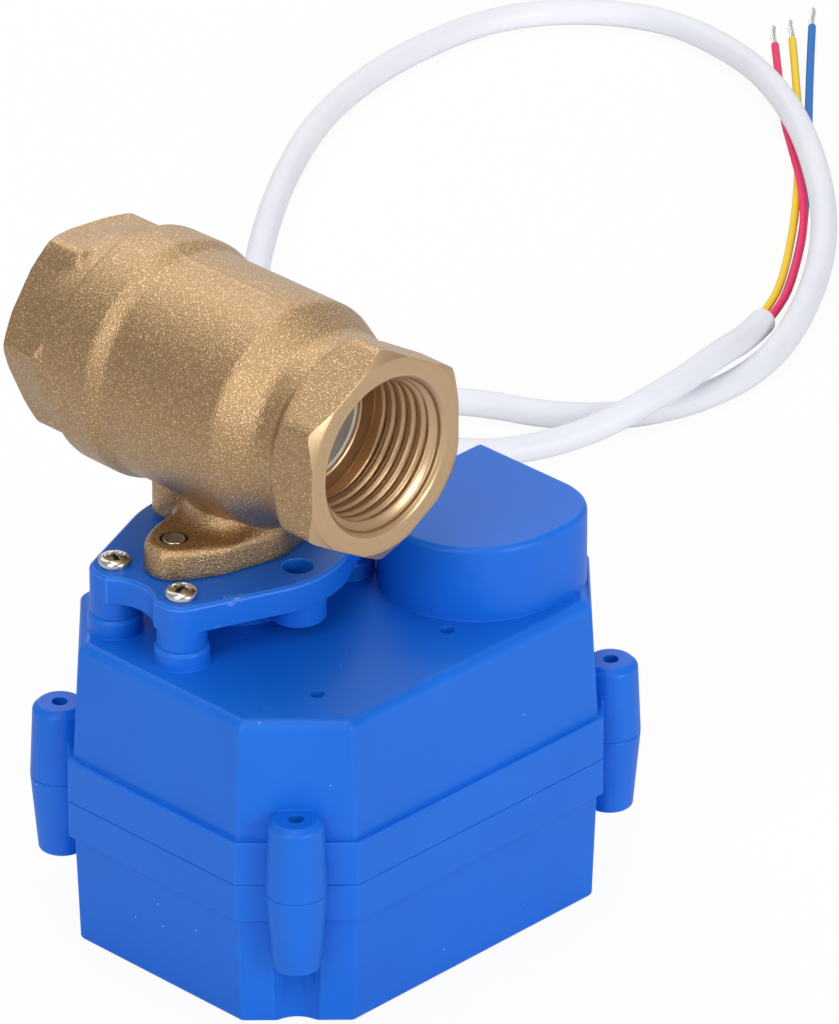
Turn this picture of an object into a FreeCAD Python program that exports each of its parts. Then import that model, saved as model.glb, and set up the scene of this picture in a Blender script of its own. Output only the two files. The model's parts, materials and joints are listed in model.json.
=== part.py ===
"""Motorized ball valve: a brass ball valve with pipe threads at both ends, on a geared electric actuator.

The frame: the origin is on the stem axis at the flat base that the valve stands on, +Z is up along the
stem, Y is the pipe axis and X is the long side of the actuator. The ball is open as modelled.
All sizes are millimetres. The driving sizes are in the sheet, and everything else follows from them.
"""
import FreeCAD
import Part
import Sketcher
import math
import os
from FreeCAD import Placement, Rotation, Vector

doc = FreeCAD.newDocument("MotorizedValve")
dims = doc.addObject("Spreadsheet::Sheet", "dims")
nodes = {}


SIZES = {
    # Actuator housing
    "belt_half_length": 34.2,  # half length of the belt round the parting line
    "belt_half_width": 26.8,  # half width of the belt
    "corner_leg": 11.25,  # leg of the corners cut at 45 degrees
    "center_x": 9.6,  # actuator centre along X from the stem
    "center_y": -8.5,  # actuator centre along Y from the stem
    "parting_height": 21.45,  # joint between the two shells above the base
    "belt_rise": 6.35,  # belt above the parting line
    "belt_drop": 5.35,  # belt below the parting line
    "belt_step": 0.8,  # how far the belt stands out of the walls
    "base_inset": 1.35,  # inset of the outline at the base
    "roof_inset": 1.75,  # inset of the outline at the roof
    "wall_inset": 3.4,  # inset of the hollow from the belt
    "roof_thickness": 2.0,  # roof of the upper shell
    "floor_thickness": 2.2,  # floor of the lower shell
    "roof_bevel": 1.2,  # bevel of the roof's rim
    "base_bevel": 0.5,  # bevel of the base's rim
    # Motor pocket on the roof
    "pocket_x": 27.0,  # centre of the pocket's round end
    "pocket_y": -17.3,  # centre of the pocket's round end
    "pocket_radius": 13.2,  # radius of the pocket's round end
    "pocket_right": 39.3,  # straight wall of the pocket along X
    "pocket_back": -6.0,  # straight wall of the pocket along Y
    "pocket_corner": 8.5,  # corner radius of the pocket
    "motor_headroom": 3.4,  # room between the motor can and the pocket's top wall
    "pocket_bevel": 1.3,  # bevel of the pocket's top rim
    "pocket_wall": 2.0,  # wall of the pocket
    # Screw lugs at the four cut corners
    "lug_x": 29.4,  # lug axis from the actuator centre along X
    "lug_y": 21.9,  # lug axis from the actuator centre along Y
    "lug_radius": 4.1,  # lug at the parting line
    "lug_top_radius": 3.65,  # lug at its top
    "lug_foot_radius": 3.15,  # lug at its foot
    "lug_top": 32.1,  # top of the lugs
    "lug_bevel": 0.8,  # bevel round the top of the lugs
    "lug_foot": 10.3,  # foot of the lugs
    "lug_bore": 1.05,  # radius of the screw hole in a lug
    "channel_radius": 3.8,  # screwdriver channel below a lug
    "gasket_width": 1.1,  # width of the housing gasket's groove
    "gasket_depth": 0.8,  # depth of the housing gasket's groove
    "gasket_inset": 1.0,  # outer edge of the gasket's groove from the belt
    # Bracket plate and its posts
    "bracket_rise": 9.3,  # top of the bracket plate, where the brass flange sits, above the roof
    "plate_thickness": 3.9,  # bracket plate
    "plate_radius": 15.1,  # round middle of the bracket plate
    "left_post_x": -16.35,  # posts away from the motor along X
    "left_post_y": 6.2,  # posts away from the motor along Y
    "right_post_x": 16.0,  # posts beside the motor along X
    "right_post_y": 4.4,  # posts beside the motor along Y
    "post_radius": 3.3,  # posts under the plate
    "boss_radius": 3.65,  # bosses on the roof under the posts
    "boss_height": 2.65,  # bosses above the roof
    "notch_radius": 6.3,  # hollow between the two posts at the plate's end
    "notch_depth": 1.8,  # depth of that hollow
    "spare_hole_y": 11.1,  # unused hole of the plate from the stem
    "spare_hole_radius": 2.05,  # unused hole of the plate
    "spare_boss_radius": 3.75,  # collar round the unused hole, under the plate
    "spare_boss_drop": 3.3,  # that collar below the plate
    # Brass valve
    "front_face": 27.3,  # front port face from the stem axis
    "rear_face": 28.9,  # rear port face from the stem axis
    "seam": 18.6,  # seam between body and end piece from the stem axis
    "body_wall": 3.2,  # wall of the barrel round the ball's cavity
    "shoulder_radius": 13.2,  # neck behind the front hexagon
    "collar_thickness": 3.55,  # wall of the barrel's thick end round the end piece's thread
    "front_hex_radius": 15.4,  # corner radius of the front hexagon
    "front_hex_length": 6.6,  # length of the front hexagon
    "rear_hex_radius": 15.25,  # corner radius of the rear hexagon
    "end_neck_radius": 14.2,  # round neck of the end piece, between the seam and its hexagon
    "rear_hex_length": 7.0,  # length of the rear hexagon
    "rear_hex_turn": -5.8,  # turn of the rear hexagon in degrees
    "hex_chamfer": 0.95,  # chamfer of the hexagons at the port faces
    "thread_radius": 10.48,  # major radius of the half inch pipe thread
    "thread_depth": 10.9,  # depth of the thread
    "relief_radius": 10.9,  # relief behind the thread
    "relief_length": 1.9,  # length of the relief
    "lip_length": 0.6,  # lip that holds the seat
    "lip_radius": 8.3,  # bore of that lip
    "ball_radius": 12.0,  # ball
    "ball_bore": 7.5,  # radius of the bore through the ball
    "seat_bore": 7.8,  # radius of the bore of a seat ring
    "seat_radius": 11.25,  # outside of a seat ring
    "seat_mouth": 8.9,  # mouth radius of a seat ring's tapered face
    "ball_clearance": 0.4,  # cavity round the ball
    "ball_entry": 0.9,  # thread of the end piece round the ball
    "flange_thickness": 4.4,  # brass flange on the plate
    "flange_radius": 7.8,  # middle of the brass flange
    "ear_distance": 11.55,  # flange screws from the stem axis
    "ear_radius": 4.0,  # ears of the brass flange
    "ear_bore": 1.9,  # screw holes of the ears
    "neck_radius": 6.6,  # neck between flange and barrel
    "neck_round": 2.4,  # hollow round between flange and neck
    "lobe_distance": 10.2,  # casting lobe beside the neck from the stem axis
    "lobe_radius": 4.0,  # casting lobe
    # Stem and output shaft
    "stem_radius": 3.9,  # stem in the neck
    "stem_bearing": 8.0,  # length of the stem's bearing in the neck
    "stem_seal_margin": 2.0,  # first stem seal above the flange's foot
    "stem_seal_rise": 3.0,  # second stem seal below the stem's collar
    "stem_collar_radius": 5.2,  # collar that keeps the stem in
    "stem_collar_height": 1.6,  # that collar's height
    "tang_width": 3.4,  # tang in the ball's slot
    "tang_length": 9.0,  # tang along the slot
    "tang_depth": 2.3,  # tang in the ball
    "square_width": 5.4,  # square end of the stem
    "square_length": 6.8,  # length of the square end
    "shaft_radius": 5.0,  # output shaft in the collar
    "journal_radius": 4.0,  # output shaft in the lower bearing
    "shaft_top_gap": 0.6,  # shaft end below the brass flange
    "collar_wall": 2.1,  # wall of the roof's collar round the shaft
    "running_fit": 0.05,  # radial clearance of turning parts
    "slip_fit": 0.1,  # clearance of parts slid together
    "seal_section": 1.2,  # section of the shaft seal
    "stem_seal_section": 0.9,  # section of the stem seals
    # Gear train
    "fine_module": 0.5,  # module of the first three gear pairs
    "coarse_module": 0.6,  # module of the last gear pair
    "pinion_teeth": 12,  # teeth of every pinion
    "wheel_teeth": 40,  # teeth of the three intermediate wheels
    "output_teeth": 44,  # teeth of the output wheel
    "fine_width": 3.0,  # face width of the fine wheels
    "coarse_width": 4.0,  # face width of the output wheel
    "stage_gap": 0.7,  # gap between one wheel and the next below it
    "output_gap": 1.0,  # gap between the output wheel and the wheel above it
    "output_level": 9.9,  # underside of the output wheel above the base
    "pin_radius": 1.0,  # pins that the gears turn on
    "hub_radius": 2.3,  # bosses that hold the pins
    "boss_top": 8.2,  # top of the bearing bosses on the floor
    "motor_x": 27.2,  # motor axis along X
    "motor_y": -18.2,  # motor axis along Y
    "motor_radius": 9.8,  # motor can
    "motor_length": 23.0,  # motor can
    "first_gear_angle": 80.0,  # direction of the first gear from the motor in degrees
    "second_gear_angle": 140.0,  # direction of the second gear from the first in degrees
    "gear_plate_thickness": 1.5,  # gear plate
    "pillar_radius": 2.5,  # pillars between roof and gear plate
    # Limit switches and board
    "cam_radius": 6.0,  # limit cam
    "cam_lobe_radius": 8.0,  # lobe of the limit cam
    "cam_height": 4.0,  # limit cam
    "switch_length": 12.8,  # limit switch
    "switch_depth": 5.8,  # limit switch
    "switch_height": 6.5,  # limit switch
    "switch_reach": 9.5,  # switch body from the stem axis
    "plunger_gap": 0.3,  # plunger tip from the cam's lobe
    "board_thickness": 1.6,  # circuit board
    "board_headroom": 7.1,  # room between the board and the roof
    "board_margin": 5.9,  # edge of the board from the wall's inner face
    # Cable entry and cable
    "gland_y": 1.5,  # cable entry along Y
    "gland_radius": 4.4,  # flange of the cable grommet
    "gland_neck": 3.1,  # grommet in the wall
    "gland_length": 4.5,  # tapered strain relief beyond its flange
    "gland_flange": 1.2,  # thickness of the grommet's flange
    "gland_boss_radius": 5.4,  # flat boss round the cable entry
    "gland_boss_inset": 0.4,  # face of that boss from the belt
    "cable_diameter": 4.0,  # outer jacket of the cable
    "wire_diameter": 1.24,  # insulated wires in the cable
    "strand_diameter": 0.9,  # bare tinned ends of the wires
    "plate_screw_head": 2.15,  # head radius of the bracket screws
    "plate_screw_rise": 1.5,  # head height of the bracket screws
    "plate_screw_length": 10.0,  # shank of the bracket screws
    "flange_screw_rise": 1.5,  # head height of the flange screws
    "small_screw_head": 1.9,  # head radius of the gear plate's screws
    "small_screw_rise": 1.2,  # head height of the gear plate's screws
    "small_screw_depth": 5.0,  # those screws in the pillars
    "motor_screw_depth": 3.0,  # those screws in the motor
    "flange_screw_head": 2.8,  # head radius of the flange screws
    "flange_screw_radius": 1.6,  # shank radius of the flange screws
}
for row, (alias, number) in enumerate(SIZES.items(), start=1):
    dims.set(f"A{row}", alias.replace("_", " "))
    dims.set(f"B{row}", str(number))
    dims.setAlias(f"B{row}", alias)
# What follows from the ball, and the levels that follow from the stack of gears, plate, switches and board
DERIVED = {
    "cavity_radius": "ball_radius + ball_clearance",
    "barrel_radius": "cavity_radius + body_wall",
    "end_thread_radius": "ball_radius + ball_entry",
    "collar_radius": "end_thread_radius + collar_thickness",
    "seat_reach": "sqrt((ball_radius + 2 * running_fit) ^ 2 - seat_mouth ^ 2)",
    "gland_boss_reach": "belt_half_length - gland_boss_inset",
    "gear_plate_level": "output_level + coarse_width + output_gap + 3 * (fine_width + stage_gap)",
    "motor_level": "gear_plate_level + gear_plate_thickness",
    "board_level": "motor_level + switch_height",
    "gland_height": "board_level",
    "housing_height": "board_level + board_thickness + board_headroom + roof_thickness",
    "pocket_height": "motor_level + motor_length + motor_headroom + pocket_wall",
    "plate_top": "housing_height + bracket_rise",
    "stem_collar_level": "plate_top + stem_bearing",
    "pipe_height": "stem_collar_level + stem_collar_height + slip_fit + cavity_radius",
}
for row, (alias, formula) in enumerate(DERIVED.items(), start=len(SIZES) + 1):
    dims.set(f"A{row}", alias.replace("_", " "))
    dims.set(f"B{row}", f"={formula}")
    dims.setAlias(f"B{row}", alias)
doc.recompute()


def value(expression):
    """Number that an expression over the sheet gives."""
    return float(dims.evalExpression(expression))


# The cable lies on the floor: out of the grommet, down, round a loop and over itself. Points were set by hand.
CABLE_ROUTE = [
    (49.1, 1.5, 34.0), (61.0, 1.5, 34.0), (72.3, 8.0, 31.0), (78.3, 20.8, 24.4), (78.6, 37.5, 15.2),
    (73.8, 55.5, 6.8), (73.4, 73.6, 2.0), (86.6, 87.6, 2.0), (105.8, 87.0, 2.0), (118.8, 74.5, 2.0),
    (124.8, 59.5, 2.0), (137.5, 50.2, 2.0), (156.0, 49.5, 2.0), (174.5, 58.0, 2.2), (191.5, 69.5, 3.7),
    (206.0, 85.0, 5.2), (219.0, 103.0, 5.1), (229.3, 122.0, 2.8), (231.6, 142.6, 2.0), (217.0, 159.0, 2.0),
    (193.6, 160.6, 2.0), (171.6, 155.2, 2.0), (151.6, 144.0, 2.0), (132.6, 130.0, 2.0), (114.0, 113.3, 3.4),
    (103.2, 95.0, 6.9), (98.5, 77.5, 6.7), (103.8, 62.1, 2.6), (119.5, 53.2, 2.6), (135.6, 48.9, 6.8),
    (149.5, 51.6, 6.8), (158.6, 55.6, 3.9), (166.6, 59.7, 2.2),
]
YELLOW_ROUTE = [
    (166.3, 60.4, 2.4), (172.6, 63.2, 1.9), (180.3, 68.0, 1.8), (192.4, 77.2, 1.75), (204.6, 87.5, 0.64),
    (217.5, 99.0, 0.62), (230.5, 111.5, 0.62), (241.8, 122.8, 0.62),
]
RED_ROUTE = [
    (166.95, 59.05, 2.4), (173.5, 61.9, 1.95), (181.3, 66.9, 1.85), (193.6, 76.0, 1.9), (203.2, 85.2, 2.1),
    (212.0, 95.6, 2.1), (220.3, 104.9, 0.9), (229.4, 114.1, 0.62), (238.5, 123.4, 0.62),
]
BLUE_ROUTE = [
    (166.45, 59.6, 1.35), (173.2, 62.9, 0.72), (180.9, 67.6, 0.62), (193.1, 76.4, 0.62), (204.8, 84.9, 0.62),
    (217.4, 95.8, 0.62), (232.6, 110.8, 0.62), (247.3, 123.7, 0.62),
]


# Helpers for sketches and features

def keep(node, feature):
    """Note a finished sub-part under the name of its node."""
    feature.Label = node
    nodes[node] = feature
    return feature


def body(name):
    """Empty body for one sub-part."""
    return doc.addObject("PartDesign::Body", f"{name}_body")


def sketch(owner, name, plane, along="0", shift_x="0", shift_y="0"):
    """Sketch on one of the body's own planes, shifted along its normal and in its plane."""
    drawing = owner.newObject("Sketcher::SketchObject", name)
    base = next(item for item in owner.Origin.OriginFeatures if item.Role == plane)
    drawing.AttachmentSupport = [(base, "")]
    drawing.MapMode = "FlatFace"
    drawing.setExpression("AttachmentOffset.Base.x", shift_x)
    drawing.setExpression("AttachmentOffset.Base.y", shift_y)
    drawing.setExpression("AttachmentOffset.Base.z", along)
    return drawing


def pin_point(drawing, geometry, point, x, y):
    """Hold one point of a sketch at two expressions."""
    for kind, expression in (("DistanceX", x), ("DistanceY", y)):
        held = Sketcher.Constraint(kind, -1, 1, geometry, point, value(expression))
        number = drawing.addConstraint(held)
        drawing.setExpression(f"Constraints[{number}]", expression)


def polygon(drawing, corners):
    """Closed outline of straight lines through corners given as pairs of expressions."""
    spots = [Vector(value(x), value(y), 0) for x, y in corners]
    first = drawing.GeometryCount
    count = len(spots)
    for i in range(count):
        drawing.addGeometry(Part.LineSegment(spots[i], spots[(i + 1) % count]), False)
    for i in range(count):
        follower = first + (i + 1) % count
        drawing.addConstraint(Sketcher.Constraint("Coincident", first + i, 2, follower, 1))
    for i, (x, y) in enumerate(corners):
        pin_point(drawing, first + i, 1, x, y)


def circle(drawing, x, y, radius):
    """Circle with its centre and radius given as expressions."""
    spot = Vector(value(x), value(y), 0)
    number = drawing.addGeometry(Part.Circle(spot, Vector(0, 0, 1), value(radius)), False)
    pin_point(drawing, number, 3, x, y)
    held = drawing.addConstraint(Sketcher.Constraint("Radius", number, value(radius)))
    drawing.setExpression(f"Constraints[{held}]", radius)


def draw_wire(drawing, edges):
    """Outline of lines and arcs that were worked out from the sheet."""
    for curve in edges:
        drawing.addGeometry(curve, False)


def feature(owner, kind, name, drawing, length, reverse=False, taper=None):
    """Pad or pocket of a sketch, with its length bound to an expression."""
    item = owner.newObject(f"PartDesign::{kind}", name)
    item.Profile = drawing
    item.setExpression("Length", length)
    item.Reversed = reverse
    if taper:
        item.setExpression("TaperAngle", taper)
    doc.recompute()
    return item


def turned(owner, kind, name, drawing, axis):
    """Revolution or groove of a sketch about one of its axes."""
    item = owner.newObject(f"PartDesign::{kind}", name)
    item.Profile = drawing
    item.ReferenceAxis = (drawing, [axis])
    item.Angle = 360
    doc.recompute()
    return item


def bevelled(owner, name, base, width, test):
    """Bevel of the edges that pass a test, with its width bound to an expression."""
    names = [f"Edge{i + 1}" for i, edge in enumerate(base.Shape.Edges) if test(edge)]
    item = owner.newObject("PartDesign::Chamfer", name)
    item.Base = (base, names)
    item.setExpression("Size", width)
    doc.recompute()
    return item


def at_height(height):
    """Test for edges that lie flat at one height."""
    return lambda edge: all(abs(vertex.Z - height) < 1e-4 for vertex in edge.Vertexes)


def box_outline(inset):
    """Rectangle with cut corners about the actuator's centre, inset from the belt."""
    length = f"(dims.belt_half_length - ({inset}))"
    width = f"(dims.belt_half_width - ({inset}))"
    leg = f"(dims.corner_leg - ({inset}) * (2 - sqrt(2)))"
    corners = [
        (f"{length} - {leg}", f"-{width}"), (length, f"{leg} - {width}"),
        (length, f"{width} - {leg}"), (f"{length} - {leg}", width),
        (f"{leg} - {length}", width), (f"-{length}", f"{width} - {leg}"),
        (f"-{length}", f"{leg} - {width}"), (f"{leg} - {length}", f"-{width}"),
    ]
    return [(f"dims.center_x + {x}", f"dims.center_y + {y}") for x, y in corners]


LUGS = [
    (f"dims.center_x {x} dims.lug_x", f"dims.center_y {y} dims.lug_y") for x in "+-" for y in "+-"
]
POSTS = [
    ("dims.left_post_x", "dims.left_post_y"), ("dims.left_post_x", "-dims.left_post_y"),
    ("dims.right_post_x", "dims.right_post_y"), ("dims.right_post_x", "-dims.right_post_y"),
]


def circles(owner, name, spots, radius, along):
    """Sketch of equal circles on the horizontal plane at one height."""
    drawing = sketch(owner, name, "XY_Plane", along)
    for x, y in spots:
        circle(drawing, x, y, radius)
    return drawing


def hull_edges(discs):
    """Tight band round discs (x, y, radius) given anticlockwise: tangent lines and the arcs between them."""
    touch = []
    for i, (x0, y0, r0) in enumerate(discs):
        x1, y1, r1 = discs[(i + 1) % len(discs)]
        span = math.hypot(x1 - x0, y1 - y0)
        lean = math.atan2(y1 - y0, x1 - x0) - math.acos((r0 - r1) / span)
        out = Vector(math.cos(lean), math.sin(lean), 0)
        touch.append((Vector(x0, y0, 0) + out * r0, Vector(x1, y1, 0) + out * r1, lean))
    edges = []
    for i, (start, end, lean) in enumerate(touch):
        edges.append(Part.LineSegment(start, end))
        nearby, after, lean_after = touch[(i + 1) % len(touch)]
        x, y, radius = discs[(i + 1) % len(discs)]
        turn = (lean_after - lean) % (2 * math.pi)
        middle = Vector(x + radius * math.cos(lean + turn / 2), y + radius * math.sin(lean + turn / 2), 0)
        edges.append(Part.Arc(end, middle, nearby))
    return edges


def cylinder(name, radius, height, x="0", y="0", z="0", axis=None):
    """Bound cylinder that starts at x, y, z and runs along +Z or along another axis."""
    item = doc.addObject("Part::Cylinder", name)
    if axis:
        item.Placement = Placement(Vector(), Rotation(Vector(0, 0, 1), Vector(*axis)))
    item.setExpression("Radius", radius)
    item.setExpression("Height", height)
    for letter, expression in zip("xyz", (x, y, z)):
        item.setExpression(f"Placement.Base.{letter}", expression)
    return item


def cone(name, low, high, height, x="0", y="0", z="0", axis=None):
    """Bound cone frustum, placed as a cylinder is."""
    item = doc.addObject("Part::Cone", name)
    if axis:
        item.Placement = Placement(Vector(), Rotation(Vector(0, 0, 1), Vector(*axis)))
    item.setExpression("Radius1", low)
    item.setExpression("Radius2", high)
    item.setExpression("Height", height)
    for letter, expression in zip("xyz", (x, y, z)):
        item.setExpression(f"Placement.Base.{letter}", expression)
    return item


def block(name, x, y, z, length, width, height):
    """Bound box with its low corner at x, y, z."""
    item = doc.addObject("Part::Box", name)
    for letter, expression in zip("xyz", (x, y, z)):
        item.setExpression(f"Placement.Base.{letter}", expression)
    item.setExpression("Length", length)
    item.setExpression("Width", width)
    item.setExpression("Height", height)
    return item


def ring(name, inner, outer, width, z="0"):
    """Seal ring of square section about the stem axis: its radii, its width and the height of its middle."""
    low = f"{z} - ({width}) / 2"
    blank = cylinder(f"{name}_blank", outer, width, z=low)
    way = cylinder(f"{name}_way", inner, width, z=low)
    return cut(name, blank, way)


def fuse(name, items):
    """Union of several objects, or a group of solids where they stand apart."""
    item = doc.addObject("Part::MultiFuse", name)
    item.Shapes = items
    return item


def cut(name, base, tool):
    """Base without the tool."""
    item = doc.addObject("Part::Cut", name)
    item.Base = base
    item.Tool = tool
    return item


def along_y(angle, radius):
    """Corner of a hexagon round the pipe axis, at an angle in degrees."""
    return (f"{radius} * cos({angle})", f"{radius} * sin({angle})")


# Brass valve

STEM_COLLAR = "dims.stem_collar_level"


def port_profile(face, sign):
    """Bore of one port from its face inwards: thread, relief, lip and seat pocket, as (y, radius) pairs."""
    thread_end = f"({face} - dims.thread_depth)"
    relief_end = f"({thread_end} - dims.relief_length)"
    lip_end = f"({relief_end} - dims.lip_length)"
    steps = [
        (face, "dims.thread_radius"), (thread_end, "dims.thread_radius"),
        (thread_end, "dims.relief_radius"), (relief_end, "dims.relief_radius"),
        (relief_end, "dims.lip_radius"), (lip_end, "dims.lip_radius"),
        (lip_end, "dims.seat_radius + dims.running_fit"),
    ]
    return [(f"{sign}({y})", radius) for y, radius in steps]


def hex_corners(radius, turn):
    """Six corners of a hexagon; the first two stand either side of the top."""
    return [along_y(f"({60 * k} + {turn})", radius) for k in range(6)]


def chamfer_profile(face, corner, sign):
    """Triangle that a groove takes off the corners of a hexagon at its port face."""
    flat = f"({corner} * sqrt(3) / 2)"
    rim = f"({flat} + 0.35)"
    back = f"({face} - dims.hex_chamfer)"
    outer = f"({corner} + 1)"
    return [(f"{sign}({face})", rim), (f"{sign}({back})", corner), (f"{sign}({back})", outer),
            (f"{sign}({face})", outer)]


def valve_body():
    """Cast body: front hexagon, necked barrel, flange with ears, and the bore with the ball's cavity."""
    brass = body("valve")
    pipe = ("dims.pipe_height",)
    barrel = sketch(brass, "barrel_profile", "YZ_Plane", shift_y=pipe[0])
    hex_end = "(dims.front_face - dims.front_hex_length)"
    profile = [
        (f"-{hex_end} - 1", "0"), (f"-{hex_end} - 1", "dims.shoulder_radius"),
        ("-17.3 * dims.front_face / 27.3", "dims.shoulder_radius"),
        ("-11.6", "dims.barrel_radius"), ("8.3", "dims.barrel_radius"),
        ("11.4", "dims.collar_radius"), ("dims.seam", "dims.collar_radius"), ("dims.seam", "0"),
    ]
    polygon(barrel, profile)
    turned(brass, "Revolution", "barrel", barrel, "H_Axis")
    hexagon = sketch(brass, "front_hexagon", "XZ_Plane", along="dims.front_face", shift_y=pipe[0])
    polygon(hexagon, hex_corners("dims.front_hex_radius", "30"))
    feature(brass, "Pad", "front_hex", hexagon, "dims.front_hex_length + 1.2", reverse=True)
    corners = sketch(brass, "hex_corner_cut", "YZ_Plane", shift_y=pipe[0])
    polygon(corners, chamfer_profile("dims.front_face", "dims.front_hex_radius", "-"))
    turned(brass, "Groove", "hex_chamfer", corners, "H_Axis")
    blend = sketch(brass, "hex_back_cut", "YZ_Plane", shift_y=pipe[0])
    polygon(blend, [
        (f"-{hex_end} - 0.6", "dims.front_hex_radius"), (f"-{hex_end} + 1.4", "dims.shoulder_radius"),
        (f"-{hex_end} + 1.4", "dims.front_hex_radius + 1"), (f"-{hex_end} - 0.6", "dims.front_hex_radius + 1"),
    ])
    turned(brass, "Groove", "hex_blend", blend, "H_Axis")
    flange = sketch(brass, "flange_outline", "XY_Plane", along="dims.plate_top")
    ear, ear_radius = value("dims.ear_distance"), value("dims.ear_radius")
    draw_wire(flange, hull_edges([(ear, 0, ear_radius), (0, 0, value("dims.flange_radius")), (-ear, 0, ear_radius),
                                  (0, 0, value("dims.flange_radius"))]))
    feature(brass, "Pad", "flange", flange, "dims.flange_thickness")
    neck = sketch(brass, "neck_profile", "XZ_Plane")
    low = "(dims.plate_top + dims.flange_thickness)"
    bend = "dims.neck_round"
    top = "dims.pipe_height - dims.cavity_radius + 1.5"
    polygon(neck, [
        ("0", f"{low} - 1"), (f"dims.neck_radius + {bend}", f"{low} - 1"), (f"dims.neck_radius + {bend}", low),
        (f"dims.neck_radius + {bend} * 0.3", f"{low} + {bend} * 0.3"), ("dims.neck_radius", f"{low} + {bend}"),
        ("dims.neck_radius", top), ("0", top),
    ])
    turned(brass, "Revolution", "neck", neck, "V_Axis")
    lobe = circles(brass, "lobe_outline", [("0", "dims.lobe_distance")], "dims.lobe_radius",
                   "dims.plate_top + 0.7")
    feature(brass, "Pad", "lobe", lobe, "dims.pipe_height - dims.plate_top - dims.cavity_radius")
    bore = sketch(brass, "bore_profile", "YZ_Plane", shift_y=pipe[0])
    steps = port_profile("dims.front_face", "-")
    end_bore = "dims.end_thread_radius + dims.running_fit"
    polygon(bore, [("-dims.front_face", "0")] + steps + [
        ("-dims.seat_reach", "dims.seat_radius + dims.running_fit"), ("-dims.seat_reach", "dims.cavity_radius"),
        ("dims.seat_reach", "dims.cavity_radius"), ("dims.seat_reach", end_bore), ("dims.seam", end_bore),
        ("dims.seam", "0"),
    ])
    turned(brass, "Groove", "bore", bore, "H_Axis")
    stem_way = circles(brass, "stem_way", [("0", "0")], "dims.stem_radius + dims.running_fit",
                       "dims.plate_top")
    feature(brass, "Pocket", "stem_bore", stem_way, "dims.cavity_radius + 4", reverse=True)
    seat = circles(brass, "stem_collar_way", [("0", "0")], "dims.stem_collar_radius + dims.slip_fit",
                   f"{STEM_COLLAR} - dims.running_fit")
    feature(brass, "Pocket", "stem_counterbore", seat, "4", reverse=True)
    ears = circles(brass, "ear_holes", [("dims.ear_distance", "0"), ("-dims.ear_distance", "0")],
                   "dims.ear_bore", "dims.plate_top")
    feature(brass, "Pocket", "ear_bores", ears, "dims.flange_thickness + 1", reverse=True)
    keep("valve_body", brass)


def end_adapter():
    """End piece screwed into the body: collar, hexagon turned a little, port and the pocket of the rear seat."""
    brass = body("adapter")
    shell = sketch(brass, "adapter_profile", "YZ_Plane", shift_y="dims.pipe_height")
    hex_start = "(dims.rear_face - dims.rear_hex_length)"
    nose = "(dims.seat_reach + 0.2)"
    polygon(shell, [
        (nose, "0"), (nose, "dims.end_thread_radius"), ("dims.seam", "dims.end_thread_radius"),
        ("dims.seam", "dims.end_neck_radius"), (f"{hex_start} + 0.5", "dims.end_neck_radius"),
        (f"{hex_start} + 0.5", "0"),
    ])
    turned(brass, "Revolution", "collar", shell, "H_Axis")
    hexagon = sketch(brass, "rear_hexagon", "XZ_Plane", along="-dims.rear_face", shift_y="dims.pipe_height")
    polygon(hexagon, hex_corners("dims.rear_hex_radius", "dims.rear_hex_turn"))
    feature(brass, "Pad", "rear_hex", hexagon, "dims.rear_hex_length")
    corners = sketch(brass, "rear_corner_cut", "YZ_Plane", shift_y="dims.pipe_height")
    polygon(corners, chamfer_profile("dims.rear_face", "dims.rear_hex_radius", ""))
    turned(brass, "Groove", "rear_chamfer", corners, "H_Axis")
    blend = sketch(brass, "rear_back_cut", "YZ_Plane", shift_y="dims.pipe_height")
    polygon(blend, [
        (f"{hex_start} + 0.9", "dims.rear_hex_radius"), (f"{hex_start} - 0.1", "dims.end_neck_radius"),
        (f"{hex_start} - 0.1", "dims.rear_hex_radius + 1"), (f"{hex_start} + 0.9", "dims.rear_hex_radius + 1"),
    ])
    turned(brass, "Groove", "rear_blend", blend, "H_Axis")
    bore = sketch(brass, "adapter_bore", "YZ_Plane", shift_y="dims.pipe_height")
    steps = port_profile("dims.rear_face", "")
    steps[-1] = ("dims.front_face - dims.thread_depth - dims.relief_length - dims.lip_length", steps[-1][1])
    steps[-2] = (steps[-1][0], steps[-2][1])
    polygon(bore, [("dims.rear_face", "0")] + steps + [(nose, steps[-1][1]), (nose, "0")])
    turned(brass, "Groove", "adapter_way", bore, "H_Axis")
    keep("end_adapter", brass)


def seat_ring(node, sign):
    """Seat ring: a cylinder with the water way through it and a tapered face for the ball."""
    back = "(dims.front_face - dims.thread_depth - dims.relief_length - dims.lip_length)"
    axis = (0, sign, 0)
    start = "dims.seat_reach" if sign > 0 else "-dims.seat_reach"
    length = f"{back} - dims.seat_reach"
    blank = cylinder(f"{node}_blank", "dims.seat_radius", length, y=start, z="dims.pipe_height", axis=axis)
    way = cylinder(f"{node}_way", "dims.seat_bore", length, y=start, z="dims.pipe_height", axis=axis)
    swell = "(dims.ball_radius + 2 * dims.running_fit)"
    mouth = "dims.seat_mouth"
    depth = f"sqrt({swell} ^ 2 - dims.seat_bore ^ 2) - dims.seat_reach"
    face = cone(f"{node}_face", mouth, "dims.seat_bore", depth, y=start, z="dims.pipe_height", axis=axis)
    keep(node, cut(node, cut(f"{node}_bored", blank, way), face))


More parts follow.
